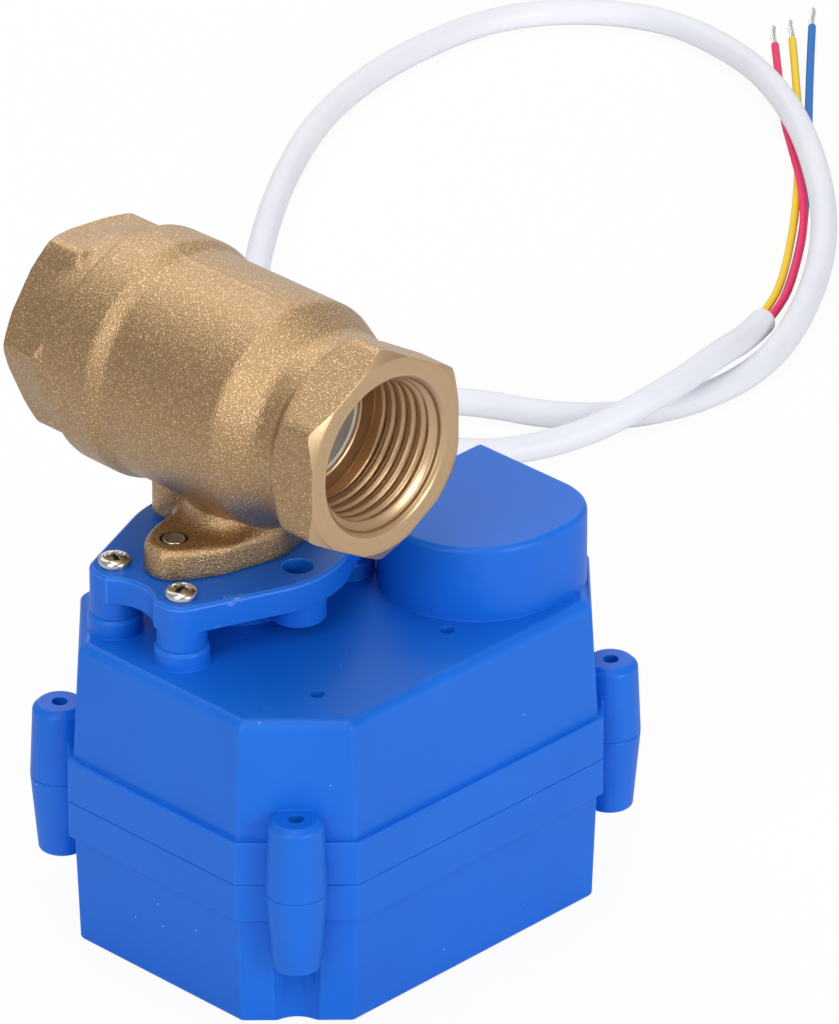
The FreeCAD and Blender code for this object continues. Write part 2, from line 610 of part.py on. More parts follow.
def ball():
    """Ball with its bore along the pipe and the slot that the stem turns it by; its face is turned in bands."""
    blank = body("ball_blank")
    half = sketch(blank, "ball_profile", "YZ_Plane", shift_y="dims.pipe_height")
    first = "asin(dims.ball_bore / dims.ball_radius)"
    bands = 6
    corners = []
    for k in range(bands + 1):
        lean = f"({first} + (180 deg - 2 * {first}) * {k / bands})"
        corners.append((f"dims.ball_radius * cos({lean})", f"dims.ball_radius * sin({lean})"))
    polygon(half, corners)
    turned(blank, "Revolution", "ball_turned", half, "H_Axis")
    width = "(dims.tang_width + 2 * dims.running_fit)"
    slot = block("ball_slot", "-dims.ball_radius", f"-{width} / 2", "dims.pipe_height - 1.2 * dims.ball_radius",
                 "2 * dims.ball_radius", width, f"{TANG_TOP} + 0.2 - dims.pipe_height + 1.2 * dims.ball_radius")
    keep("ball", cut("ball", blank, slot))


TANG_TOP = "(dims.pipe_height - dims.ball_radius + dims.tang_depth)"
SHAFT_TOP = "(dims.plate_top - dims.shaft_top_gap)"


def square_block(name, width, low, high):
    """Upright square bar about the stem axis."""
    return block(name, f"-({width}) / 2", f"-({width}) / 2", low, width, width, f"{high} - ({low})")


def stem():
    """Stem: square end, shank with two seal grooves, keeping collar and tang."""
    square = square_block("stem_square", "dims.square_width", f"{SHAFT_TOP} - dims.square_length + 0.2", SHAFT_TOP)
    shank = cylinder("stem_shank", "dims.stem_radius", f"{STEM_COLLAR} - {SHAFT_TOP}", z=SHAFT_TOP)
    collar = cylinder("stem_collar", "dims.stem_collar_radius", "dims.stem_collar_height", z=STEM_COLLAR)
    tang = block("stem_tang", "-dims.tang_length / 2", "-dims.tang_width / 2", STEM_COLLAR,
                 "dims.tang_length", "dims.tang_width", f"{TANG_TOP} - {STEM_COLLAR}")
    solid = fuse("stem_blank", [square, shank, collar, tang])
    grooves = []
    for i, height in enumerate(STEM_SEALS):
        outer = cylinder(f"seal_groove_outer_{i}", "dims.stem_radius + 1", "dims.stem_seal_section + 0.2",
                         z=f"{height} - dims.stem_seal_section / 2 - 0.1")
        inner = cylinder(f"seal_groove_inner_{i}", "dims.stem_radius - dims.stem_seal_section",
                         "dims.stem_seal_section + 0.2", z=f"{height} - dims.stem_seal_section / 2 - 0.1")
        grooves.append(cut(f"seal_groove_{i}", outer, inner))
    keep("stem", cut("stem", solid, fuse("stem_grooves", grooves)))
    rings = [ring(f"stem_seal_{i}", "dims.stem_radius - dims.stem_seal_section", "dims.stem_radius",
                  "dims.stem_seal_section", z=height) for i, height in enumerate(STEM_SEALS)]
    keep("stem_seals", fuse("stem_seals", rings))


STEM_SEALS = ["dims.plate_top + dims.stem_seal_margin", f"{STEM_COLLAR} - dims.stem_seal_rise"]


# Bracket

def mounting_bracket():
    """Plate with four posts, a hollow end, and a collar under each of the two unused holes."""
    plastic = body("bracket")
    plate = sketch(plastic, "plate_outline", "XY_Plane", along="dims.plate_top - dims.plate_thickness")
    post = value("dims.post_radius")
    right, right_y = value("dims.right_post_x"), value("dims.right_post_y")
    left, left_y = value("dims.left_post_x"), value("dims.left_post_y")
    middle = (0, 0, value("dims.plate_radius"))
    draw_wire(plate, hull_edges([middle, (right, -right_y, post), (right, right_y, post), middle,
                                 (left, left_y, post), (left, -left_y, post)]))
    feature(plastic, "Pad", "plate", plate, "dims.plate_thickness")
    notch = circles(plastic, "end_notch", [("dims.left_post_x - dims.post_radius + dims.notch_depth "
                                            "- dims.notch_radius", "0")], "dims.notch_radius",
                    "dims.plate_top")
    feature(plastic, "Pocket", "notch", notch, "dims.plate_thickness")
    bevelled(plastic, "plate_rim", plastic.Tip, "dims.plate_thickness / 10", at_height(value("dims.plate_top")))
    posts = circles(plastic, "post_outline", POSTS, "dims.post_radius", "dims.housing_height + dims.boss_height")
    feature(plastic, "Pad", "posts", posts,
            "dims.plate_top - dims.plate_thickness / 2 - dims.housing_height - dims.boss_height")
    spare = [("0", "dims.spare_hole_y"), ("0", "-dims.spare_hole_y")]
    collars = circles(plastic, "spare_collars", spare, "dims.spare_boss_radius",
                      "dims.plate_top - dims.plate_thickness - dims.spare_boss_drop")
    feature(plastic, "Pad", "collars", collars, "dims.spare_boss_drop + dims.plate_thickness / 2")
    holes = circles(plastic, "spare_holes", spare, "dims.spare_hole_radius", "dims.plate_top")
    feature(plastic, "Pocket", "spare", holes, "dims.plate_thickness + dims.spare_boss_drop")
    screws = circles(plastic, "post_holes", POSTS, "dims.lug_bore + dims.slip_fit", "dims.plate_top")
    feature(plastic, "Pocket", "post_bores", screws, "dims.plate_top - dims.housing_height - dims.boss_height")
    ways = sketch(plastic, "flange_holes", "XY_Plane", along="dims.plate_top")
    for x in ("dims.ear_distance", "-dims.ear_distance"):
        circle(ways, x, "0", "dims.flange_screw_radius + dims.slip_fit")
    circle(ways, "0", "0", "dims.shaft_radius + 3 * dims.slip_fit")
    feature(plastic, "Pocket", "flange_bores", ways, "dims.plate_thickness")
    keep("mounting_bracket", plastic)


def bracket_screws():
    """Four pan head screws through the posts into the roof's bosses."""
    made = []
    for i, (x, y) in enumerate(POSTS):
        rise = "dims.plate_screw_rise / 2"
        head = cylinder(f"bracket_head_{i}", "dims.plate_screw_head", rise, x, y, "dims.plate_top")
        crown = cone(f"bracket_crown_{i}", "dims.plate_screw_head", "dims.plate_screw_head - 0.9", rise, x, y,
                     f"dims.plate_top + {rise}")
        shank = cylinder(f"bracket_shank_{i}", "dims.lug_bore", "dims.plate_screw_length", x, y,
                         "dims.plate_top - dims.plate_screw_length")
        made.append(fuse(f"bracket_screw_{i}", [head, crown, shank]))
    keep("bracket_screws", fuse("bracket_screws", made))


def flange_screws():
    """Two screws up through the plate into the ears, their ends flush with the ears."""
    made = []
    under = "(dims.plate_top - dims.plate_thickness)"
    for i, x in enumerate(("dims.ear_distance", "-dims.ear_distance")):
        head = cylinder(f"flange_head_{i}", "dims.flange_screw_head", "dims.flange_screw_rise", x, "0",
                        f"{under} - dims.flange_screw_rise")
        shank = cylinder(f"flange_shank_{i}", "dims.flange_screw_radius",
                         "dims.plate_thickness + dims.flange_thickness", x, "0", under)
        made.append(fuse(f"flange_screw_{i}", [head, shank]))
    keep("flange_screws", fuse("flange_screws", made))


# Actuator shells

def pocket_edges(inset):
    """Outline of the motor pocket, inset by a wall: a round end, two straight walls and a round corner."""
    x, y = value("dims.pocket_x"), value("dims.pocket_y")
    radius = value("dims.pocket_radius") - inset
    right = value("dims.pocket_right") - inset
    back = value("dims.pocket_back") - inset
    corner = value("dims.pocket_corner") - inset
    low = y - radius
    lift = back - y
    start = Vector(x - math.sqrt(radius ** 2 - lift ** 2), back, 0)
    bottom = Vector(x, low, 0)
    half = 0.5 * (math.pi - math.asin(lift / radius) + 1.5 * math.pi)
    side = Vector(x + radius * math.cos(half), y + radius * math.sin(half), 0)
    turn = Vector(right - corner, low, 0)
    bend = Vector(right - corner * (1 - math.sqrt(0.5)), low + corner * (1 - math.sqrt(0.5)), 0)
    rise = Vector(right, low + corner, 0)
    top = Vector(right, back, 0)
    return [Part.Arc(start, side, bottom), Part.LineSegment(bottom, turn), Part.Arc(turn, bend, rise),
            Part.LineSegment(rise, top), Part.LineSegment(top, start)]


PILLARS = [("-14.5", "8.7"), ("2.0", "-29.2"), ("33.5", "7.0")]


def gearbox_housing():
    """Upper shell: belt, drafted walls, motor pocket, lugs, bosses, shaft collar and cable entry, then hollowed."""
    plastic = body("housing")
    belt = sketch(plastic, "belt_outline", "XY_Plane", along="dims.parting_height")
    polygon(belt, box_outline("0"))
    feature(plastic, "Pad", "belt", belt, "dims.belt_rise")
    walls = sketch(plastic, "wall_outline", "XY_Plane", along="dims.parting_height + dims.belt_rise")
    polygon(walls, box_outline("dims.belt_step"))
    height = "(dims.housing_height - dims.parting_height - dims.belt_rise)"
    feature(plastic, "Pad", "walls", walls, height,
            taper=f"-atan((dims.roof_inset - dims.belt_step) / {height})")
    bevelled(plastic, "roof_rim", plastic.Tip, "dims.roof_bevel", at_height(value("dims.housing_height")))
    bump = sketch(plastic, "pocket_outline", "XY_Plane", along="dims.housing_height - dims.roof_thickness")
    draw_wire(bump, pocket_edges(0))
    feature(plastic, "Pad", "pocket", bump, "dims.pocket_height - dims.housing_height + dims.roof_thickness")
    bevelled(plastic, "pocket_rim", plastic.Tip, "dims.pocket_bevel", at_height(value("dims.pocket_height")))
    lugs = circles(plastic, "lug_outline", LUGS, "dims.lug_radius", "dims.parting_height")
    tall = "(dims.lug_top - dims.lug_bevel - dims.parting_height)"
    feature(plastic, "Pad", "lugs", lugs, tall, taper=f"-atan((dims.lug_radius - dims.lug_top_radius) / {tall})")
    crowns = circles(plastic, "lug_crowns", LUGS, "dims.lug_top_radius", "dims.lug_top - dims.lug_bevel")
    feature(plastic, "Pad", "lug_rims", crowns, "dims.lug_bevel", taper="-45")
    bosses = circles(plastic, "boss_outline", POSTS, "dims.boss_radius", "dims.housing_height - 0.5")
    feature(plastic, "Pad", "bosses", bosses, "dims.boss_height + 0.5")
    collar = circles(plastic, "collar_outline", [("0", "0")], "dims.shaft_radius + dims.collar_wall",
                     "dims.housing_height - 0.5")
    under = "(dims.plate_top - dims.plate_thickness)"
    feature(plastic, "Pad", "shaft_collar", collar, f"{under} - dims.housing_height + 0.5")
    entry = sketch(plastic, "entry_outline", "YZ_Plane", along="dims.center_x + dims.gland_boss_reach")
    circle(entry, "dims.gland_y", "dims.gland_height", "dims.gland_boss_radius")
    feature(plastic, "Pad", "entry_boss", entry, "dims.wall_inset - 1", reverse=True)
    hollow = sketch(plastic, "hollow_outline", "XY_Plane", along="dims.parting_height")
    polygon(hollow, box_outline("dims.wall_inset"))
    feature(plastic, "Pocket", "hollow", hollow,
            "dims.housing_height - dims.roof_thickness - dims.parting_height", reverse=True)
    pocket = sketch(plastic, "pocket_hollow", "XY_Plane", along="dims.parting_height")
    draw_wire(pocket, pocket_edges(value("dims.pocket_wall")))
    feature(plastic, "Pocket", "pocket_way", pocket,
            "dims.pocket_height - dims.pocket_wall - dims.parting_height", reverse=True)
    pillars = circles(plastic, "pillar_outline", PILLARS, "dims.pillar_radius",
                      "dims.gear_plate_level + dims.gear_plate_thickness")
    feature(plastic, "Pad", "pillars", pillars, "dims.housing_height - dims.roof_thickness / 2 "
            "- dims.gear_plate_level - dims.gear_plate_thickness")
    holes = circles(plastic, "lug_holes", LUGS, "dims.lug_bore", "dims.lug_top")
    feature(plastic, "Pocket", "lug_bores", holes, "dims.lug_top - dims.parting_height")
    threads = circles(plastic, "boss_holes", POSTS, "dims.lug_bore + dims.slip_fit / 4",
                      "dims.housing_height + dims.boss_height")
    feature(plastic, "Pocket", "boss_bores", threads, "dims.boss_height + 1.5")
    tapped = circles(plastic, "pillar_holes", PILLARS, "dims.pin_radius + dims.slip_fit / 4",
                     "dims.gear_plate_level + dims.gear_plate_thickness")
    feature(plastic, "Pocket", "pillar_bores", tapped, "dims.small_screw_depth + 1", reverse=True)
    way = circles(plastic, "shaft_way", [("0", "0")], "dims.shaft_radius + dims.running_fit",
                  "dims.housing_height - dims.roof_thickness - 0.5")
    feature(plastic, "Pocket", "shaft_bore", way, "dims.plate_top - dims.housing_height + 3", reverse=True)
    gland = circles(plastic, "seal_way", [("0", "0")], "dims.shaft_radius + dims.seal_section + dims.running_fit",
                    f"{under}")
    feature(plastic, "Pocket", "seal_bore", gland, "dims.seal_section + 0.2")
    cable = sketch(plastic, "entry_hole", "YZ_Plane", along="dims.center_x + dims.gland_boss_reach")
    circle(cable, "dims.gland_y", "dims.gland_height", "dims.gland_neck + dims.running_fit")
    feature(plastic, "Pocket", "entry_bore", cable, "8")
    dimples = circles(plastic, "dimple_outline", [("-10.5", "-25.1"), ("13.4", "-25.2")], "dims.lug_bore - 0.05",
                      "dims.housing_height")
    feature(plastic, "Pocket", "dimples", dimples, "dims.roof_thickness * 0.7")
    keep("gearbox_housing", plastic)


def bottom_cover():
    """Lower shell: drafted walls, belt, lugs with screwdriver channels, bearing bosses and gasket groove."""
    plastic = body("cover")
    walls = sketch(plastic, "lower_outline", "XY_Plane", along="dims.parting_height - dims.belt_drop")
    polygon(walls, box_outline("dims.belt_step"))
    height = "(dims.parting_height - dims.belt_drop)"
    feature(plastic, "Pad", "lower_walls", walls, height, reverse=True,
            taper=f"-atan((dims.base_inset - dims.belt_step) / {height})")
    bevelled(plastic, "base_rim", plastic.Tip, "dims.base_bevel", at_height(0))
    belt = sketch(plastic, "lower_belt_outline", "XY_Plane", along=height)
    polygon(belt, box_outline("0"))
    feature(plastic, "Pad", "lower_belt", belt, "dims.belt_drop")
    lugs = circles(plastic, "lower_lugs", LUGS, "dims.lug_radius", "dims.parting_height")
    tall = "(dims.parting_height - dims.lug_foot)"
    feature(plastic, "Pad", "lug_feet", lugs, tall, reverse=True,
            taper=f"-atan((dims.lug_radius - dims.lug_foot_radius) / {tall})")
    channels = circles(plastic, "channel_outline", LUGS, "dims.channel_radius", "0")
    feature(plastic, "Pocket", "channels", channels, "dims.lug_foot", reverse=True)
    hollow = sketch(plastic, "lower_hollow", "XY_Plane", along="dims.parting_height")
    polygon(hollow, box_outline("dims.wall_inset"))
    feature(plastic, "Pocket", "lower_way", hollow, "dims.parting_height - dims.floor_thickness")
    drop = "dims.floor_thickness - 0.5"
    posts = circles(plastic, "bearing_outline", [("0", "0")], "dims.journal_radius + 2.5", drop)
    feature(plastic, "Pad", "bearing", posts, "dims.boss_top - dims.floor_thickness + 0.5")
    spots = [(str(round(x, 6)), str(round(y, 6))) for x, y in GEAR_SPOTS]
    pins = circles(plastic, "pin_bosses", spots, "dims.hub_radius", drop)
    feature(plastic, "Pad", "pin_posts", pins, "dims.boss_top - dims.floor_thickness + 0.5")
    journal = circles(plastic, "journal_way", [("0", "0")], "dims.journal_radius + dims.running_fit",
                      "dims.boss_top")
    feature(plastic, "Pocket", "journal_bore", journal, "dims.boss_top - dims.floor_thickness")
    tight = circles(plastic, "pin_holes", spots, "dims.pin_radius + dims.slip_fit / 4", "dims.boss_top")
    feature(plastic, "Pocket", "pin_bores", tight, "dims.boss_top - dims.floor_thickness")
    screws = circles(plastic, "lower_lug_holes", LUGS, "dims.lug_bore + dims.slip_fit", "dims.parting_height")
    feature(plastic, "Pocket", "lower_lug_bores", screws, tall)
    outer = sketch(plastic, "groove_outline", "XY_Plane", along="dims.parting_height")
    polygon(outer, box_outline("dims.gasket_inset"))
    polygon(outer, box_outline("dims.gasket_inset + dims.gasket_width"))
    feature(plastic, "Pocket", "gasket_groove", outer, "dims.gasket_depth")
    keep("bottom_cover", plastic)


def housing_gasket():
    """Flat rubber ring that fills the groove between the shells."""
    rubber = body("gasket")
    outline = sketch(rubber, "gasket_outline", "XY_Plane", along="dims.parting_height - dims.gasket_depth")
    polygon(outline, box_outline("dims.gasket_inset + dims.slip_fit / 2"))
    polygon(outline, box_outline("dims.gasket_inset + dims.gasket_width - dims.slip_fit / 2"))
    feature(rubber, "Pad", "gasket", outline, "dims.gasket_depth")
    keep("housing_gasket", rubber)


def cover_screws():
    """Four screws from below through the lower lugs into the upper ones."""
    made = []
    for i, (x, y) in enumerate(LUGS):
        head = cylinder(f"cover_head_{i}", "2 * dims.lug_bore", "1.6", x, y, "dims.lug_foot - 1.6")
        shank = cylinder(f"cover_shank_{i}", "dims.lug_bore - dims.running_fit",
                         "dims.lug_top - dims.lug_foot - 3", x, y, "dims.lug_foot")
        made.append(fuse(f"cover_screw_{i}", [head, shank]))
    keep("cover_screws", fuse("cover_screws", made))


# Gear train

def meeting_point(first, first_reach, second, second_reach):
    """Point at two distances from two points, on the right of the way from the first to the second."""
    span = math.hypot(second[0] - first[0], second[1] - first[1])
    along = (first_reach ** 2 - second_reach ** 2 + span ** 2) / (2 * span)
    aside = math.sqrt(first_reach ** 2 - along ** 2)
    ux, uy = (second[0] - first[0]) / span, (second[1] - first[1]) / span
    return (first[0] + along * ux + aside * uy, first[1] + along * uy - aside * ux)


FINE_CENTRES = value("dims.fine_module * (dims.pinion_teeth + dims.wheel_teeth) / 2")
COARSE_CENTRES = value("dims.coarse_module * (dims.pinion_teeth + dims.output_teeth) / 2")
MOTOR_SPOT = (value("dims.motor_x"), value("dims.motor_y"))


def step_from(spot, angle, distance):
    """Point at a direction in degrees and a distance from another."""
    lean = math.radians(angle)
    return (spot[0] + distance * math.cos(lean), spot[1] + distance * math.sin(lean))


FIRST_SPOT = step_from(MOTOR_SPOT, value("dims.first_gear_angle"), FINE_CENTRES)
SECOND_SPOT = step_from(FIRST_SPOT, value("dims.second_gear_angle"), FINE_CENTRES)
THIRD_SPOT = meeting_point((0, 0), COARSE_CENTRES, SECOND_SPOT, FINE_CENTRES)
GEAR_SPOTS = [FIRST_SPOT, SECOND_SPOT, THIRD_SPOT]
PRESSURE_ANGLE = math.radians(20)
BACKLASH = 0.1


def involute(angle):
    """Involute function of a pressure angle."""
    return math.tan(angle) - angle


def gear_face(teeth, module, tip, root, steps, phase, spot):
    """Gear outline as a face: every tooth has involute flanks cut into straight steps, thinned for backlash."""
    pitch = module * teeth / 2
    base = pitch * math.cos(PRESSURE_ANGLE)
    half = math.pi / (2 * teeth) - BACKLASH / 2 / (2 * pitch) + involute(PRESSURE_ANGLE)
    low = max(base, pitch - root * module)
    high = pitch + tip * module
    flank = []
    if base > pitch - root * module:
        flank.append((pitch - root * module, half))
    for k in range(steps + 1):
        radius = low + (high - low) * k / steps
        flank.append((radius, half - involute(math.acos(base / radius))))
    points = []
    for tooth in range(teeth):
        centre = phase + 2 * math.pi * tooth / teeth
        for radius, lean in flank:
            points.append((radius, centre - lean))
        for radius, lean in reversed(flank):
            points.append((radius, centre + lean))
    spots = [Vector(spot[0] + r * math.cos(a), spot[1] + r * math.sin(a), 0) for r, a in points]
    return Part.Face(Part.makePolygon(spots + spots[:1]))


def gear_solid(teeth, module, tip, steps, phase, spot, low, high):
    """Gear between two heights."""
    face = gear_face(teeth, module, tip, 1.05, steps, phase, spot)
    face.translate(Vector(0, 0, low))
    return face.extrude(Vector(0, 0, high - low))


def in_mesh(spot, phase, teeth, other, other_teeth):
    """Phase of a gear so that its gap faces the other gear's tooth on their line of centres."""
    lean = math.atan2(other[1] - spot[1], other[0] - spot[0])
    pitch = 2 * math.pi / teeth
    share = ((lean - phase) / pitch) % 1
    return lean + math.pi - 2 * math.pi / other_teeth * (0.5 - share)


def levels():
    """Undersides of the four gear stages, from the output wheel up to the motor's pinion."""
    output = value("dims.output_level")
    gap, fine, coarse = value("dims.stage_gap"), value("dims.fine_width"), value("dims.coarse_width")
    third = output + coarse + value("dims.output_gap")
    second = third + fine + gap
    first = second + fine + gap
    return output, third, second, first


WHEEL_TIP = 0.75
PINION_TIP = 0.9


def compound_gear(node, spot, pinion_module, pinion_phase, wheel_level, pinion_level):
    """Wheel with the pinion that drives the next stage below it, bored for its pin."""
    pinion_teeth, wheel_teeth = int(value("dims.pinion_teeth")), int(value("dims.wheel_teeth"))
    width = value("dims.fine_width")
    wheel = gear_solid(wheel_teeth, value("dims.fine_module"), WHEEL_TIP, 1, pinion_phase, spot,
                       wheel_level, wheel_level + width)
    pinion = gear_solid(pinion_teeth, pinion_module, PINION_TIP, 2, pinion_phase, spot,
                        pinion_level - 0.2, wheel_level)
    place = Vector(spot[0], spot[1], pinion_level - 1)
    bore = Part.makeCylinder(value("dims.pin_radius + dims.running_fit"), 20, place)
    item = doc.addObject("Part::Feature", node)
    item.Shape = wheel.fuse(pinion).removeSplitter().cut(bore)
    keep(node, item)


def gear_train():
    """Output wheel on the stem axis, three compound gears and the motor's pinion, each in mesh with the next."""
    output, third, second, first = levels()
    pinion_teeth, wheel_teeth = int(value("dims.pinion_teeth")), int(value("dims.wheel_teeth"))
    output_teeth = int(value("dims.output_teeth"))
    fine, coarse = value("dims.fine_module"), value("dims.coarse_module")
    third_phase = in_mesh((0, 0), 0, output_teeth, THIRD_SPOT, pinion_teeth)
    second_phase = in_mesh(THIRD_SPOT, third_phase, wheel_teeth, SECOND_SPOT, pinion_teeth)
    first_phase = in_mesh(SECOND_SPOT, second_phase, wheel_teeth, FIRST_SPOT, pinion_teeth)
    motor_phase = in_mesh(FIRST_SPOT, first_phase, wheel_teeth, MOTOR_SPOT, pinion_teeth)
    compound_gear("third_gear", THIRD_SPOT, coarse, third_phase, third, output)
    compound_gear("second_gear", SECOND_SPOT, fine, second_phase, second, third)
    compound_gear("first_gear", FIRST_SPOT, fine, first_phase, first, second)
    pinion = gear_solid(pinion_teeth, fine, PINION_TIP, 2, motor_phase, MOTOR_SPOT, first - 0.3,
                        first + value("dims.fine_width") - 0.1)
    top = value("dims.gear_plate_level + dims.gear_plate_thickness + 3")
    place = Vector(MOTOR_SPOT[0], MOTOR_SPOT[1], first - 0.3)
    shaft = Part.makeCylinder(value("dims.pin_radius"), top - first + 0.3, place)
    item = doc.addObject("Part::Feature", "motor_pinion")
    item.Shape = pinion.fuse(shaft).removeSplitter()
    keep("motor_pinion", item)
    output_gear(output, output_teeth, coarse)


def output_gear(level, teeth, module):
    """Output wheel and its shaft in one piece: lower journal, wheel, upper shaft and square socket."""
    width = value("dims.coarse_width")
    wheel = gear_solid(teeth, module, WHEEL_TIP, 1, 0, (0, 0), level, level + width)
    foot = value("dims.floor_thickness") + 0.3
    journal = value("dims.journal_radius")
    shoulder = value(CAM_TOP)
    top = value(SHAFT_TOP)
    lower = Part.makeCylinder(journal, shoulder - foot, Vector(0, 0, foot))
    hub = Part.makeCylinder(journal + 2, level - value("dims.boss_top") - 0.3, Vector(0, 0, value("dims.boss_top") + 0.3))
    upper = Part.makeCylinder(value("dims.shaft_radius"), top - shoulder, Vector(0, 0, shoulder))
    side = value("dims.square_width + dims.slip_fit")
    deep = value("dims.square_length")
    socket = Part.makeBox(side, side, deep, Vector(-side / 2, -side / 2, top - deep))
    item = doc.addObject("Part::Feature", "output_gear")
    item.Shape = wheel.fuse([lower, hub, upper]).removeSplitter().cut(socket)
    keep("output_gear", item)


CAM_TOP = "(dims.motor_level + (dims.switch_height + dims.cam_height) / 2 + 0.45)"


def limit_cam():
    """Ring on the shaft with one lobe, which points away from the motor while the valve is open."""
    low = f"{CAM_TOP} - dims.cam_height"
    disc = cylinder("cam_disc", "dims.cam_radius", "dims.cam_height", z=low)
    lobe = cylinder("cam_lobe", "dims.cam_lobe_radius", "dims.cam_height", z=low)
    lobe.Angle = 50
    lobe.Placement = Placement(Vector(), Rotation(Vector(0, 0, 1), 155))
    lobe.setExpression("Placement.Base.z", low)
    bore = cylinder("cam_bore", "dims.journal_radius + dims.running_fit", "dims.cam_height", z=low)
    keep("limit_cam", cut("limit_cam", fuse("cam_blank", [disc, lobe]), bore))


def gear_pins():
    """Three pins pressed into the floor's bosses and the gear plate."""
    low = value("dims.floor_thickness")
    top = "dims.gear_plate_level + dims.gear_plate_thickness"
    made = [cylinder(f"pin_{i}", "dims.pin_radius", f"{top} - dims.floor_thickness - 0.2", str(x), str(y),
                     "dims.floor_thickness + 0.2") for i, (x, y) in enumerate(GEAR_SPOTS)]
    keep("gear_pins", fuse("gear_pins", made))


def gear_plate():
    """Steel plate under the motor, with holes for the shaft, the pins, the motor's nose and the screws."""
    steel = body("plate")
    outline = sketch(steel, "gear_plate_outline", "XY_Plane", along="dims.gear_plate_level")
    polygon(outline, box_outline("dims.wall_inset + 0.4"))
    circle(outline, "0", "0", "dims.journal_radius + 0.8")
    circle(outline, "dims.motor_x", "dims.motor_y", "dims.motor_radius / 3 + dims.slip_fit")
    for x, y in GEAR_SPOTS:
        circle(outline, str(round(x, 6)), str(round(y, 6)), "dims.pin_radius + dims.slip_fit / 4")
    for x, y in PILLARS + MOTOR_SCREWS:
        circle(outline, x, y, "dims.pin_radius + dims.slip_fit")
    feature(steel, "Pad", "gear_plate", outline, "dims.gear_plate_thickness")
    keep("gear_plate", steel)


MOTOR_SCREWS = [("dims.motor_x - 6.5", "dims.motor_y"), ("dims.motor_x + 6.5", "dims.motor_y")]


def plate_screws():
    """Screws from below: three into the pillars and two into the motor."""
    made = []
    for i, (x, y) in enumerate(PILLARS + MOTOR_SCREWS):
        deep = "dims.small_screw_depth" if i < len(PILLARS) else "dims.motor_screw_depth"
        head = cylinder(f"plate_head_{i}", "dims.small_screw_head", "dims.small_screw_rise", x, y,
                        "dims.gear_plate_level - dims.small_screw_rise")
        shank = cylinder(f"plate_shank_{i}", "dims.pin_radius", f"dims.gear_plate_thickness + {deep}", x, y,
                         "dims.gear_plate_level")
        made.append(fuse(f"plate_screw_{i}", [head, shank]))
    keep("plate_screws", fuse("plate_screws", made))


def motor():
    """Motor: can with rounded rims, nose through the gear plate, rear bearing and two terminals."""
    steel = body("motor")
    low = "dims.motor_level"
    profile = sketch(steel, "motor_profile", "XZ_Plane", shift_x="dims.motor_x", along="-dims.motor_y")
    top = f"({low} + dims.motor_length)"
    nose = "dims.motor_radius / 3"
    polygon(profile, [
        ("0", "dims.gear_plate_level + 0.1"), (nose, "dims.gear_plate_level + 0.1"), (nose, low),
        ("dims.motor_radius", low), ("dims.motor_radius", f"{top} - 1"), ("dims.motor_radius - 1", top),
        ("dims.motor_radius * 0.4", top), ("dims.motor_radius * 0.4", f"{top} + 1.6"), ("0", f"{top} + 1.6"),
    ])
    turned(steel, "Revolution", "motor_can", profile, "V_Axis")
    tabs = sketch(steel, "terminal_outline", "XY_Plane", along=f"{top} - 0.5")
    for sign in "+-":
        x = f"(dims.motor_x {sign} 6.2)"
        polygon(tabs, [(f"{x} - 0.4", "dims.motor_y - 1.2"), (f"{x} + 0.4", "dims.motor_y - 1.2"),
                       (f"{x} + 0.4", "dims.motor_y + 1.2"), (f"{x} - 0.4", "dims.motor_y + 1.2")])
    feature(steel, "Pad", "terminals", tabs, "2.4")
    holes = sketch(steel, "motor_holes", "XY_Plane", along=low)
    for x, y in MOTOR_SCREWS:
        circle(holes, x, y, "dims.pin_radius + dims.slip_fit / 4")
    circle(holes, "dims.motor_x", "dims.motor_y", "dims.pin_radius + dims.running_fit")
    feature(steel, "Pocket", "motor_bores", holes, "dims.motor_screw_depth + 0.2", reverse=True)
    nose_way = sketch(steel, "nose_hole", "XY_Plane", along="dims.gear_plate_level")
    circle(nose_way, "dims.motor_x", "dims.motor_y", "dims.pin_radius + dims.running_fit")
    feature(steel, "Pocket", "nose_bore", nose_way, "3", reverse=True)
    keep("motor", steel)


def shaft_seal():
    """Seal ring round the output shaft, held in the roof's collar by the bracket plate."""
    inner = "dims.shaft_radius + dims.running_fit"
    height = "dims.plate_top - dims.plate_thickness - dims.seal_section / 2 - 0.1"
    keep("shaft_seal", ring("shaft_seal", inner, f"{inner} + dims.seal_section", "dims.seal_section", z=height))


# Switches and board

def limit_switch(node, away):
    """Limit switch on the gear plate with its plunger towards the cam: away is the switch's side of the shaft."""
    low = "dims.motor_level"
    middle = f"{CAM_TOP} - dims.cam_height / 2"
    reach = "dims.switch_reach + dims.switch_depth"
    tip = "(dims.cam_lobe_radius + dims.plunger_gap)"
    stroke = f"dims.switch_reach - {tip}"
    if away == "x":
        case = block(f"{node}_case", f"-({reach})", "-dims.switch_length / 2 - 1.8", low,
                     "dims.switch_depth", "dims.switch_length", "dims.switch_height")
        plunger = cylinder(f"{node}_plunger", "0.8", stroke, x="-dims.switch_reach", z=middle, axis=(1, 0, 0))
    else:
        case = block(f"{node}_case", "-dims.switch_length / 2 - 1.0", f"-({reach})", low,
                     "dims.switch_length", "dims.switch_depth", "dims.switch_height")
        plunger = cylinder(f"{node}_plunger", "0.8", stroke, y="-dims.switch_reach", z=middle, axis=(0, 1, 0))
    keep(node, fuse(node, [case, plunger]))


CONNECTOR_FACE = "9.6"
BOARD_LOW = "dims.board_level"


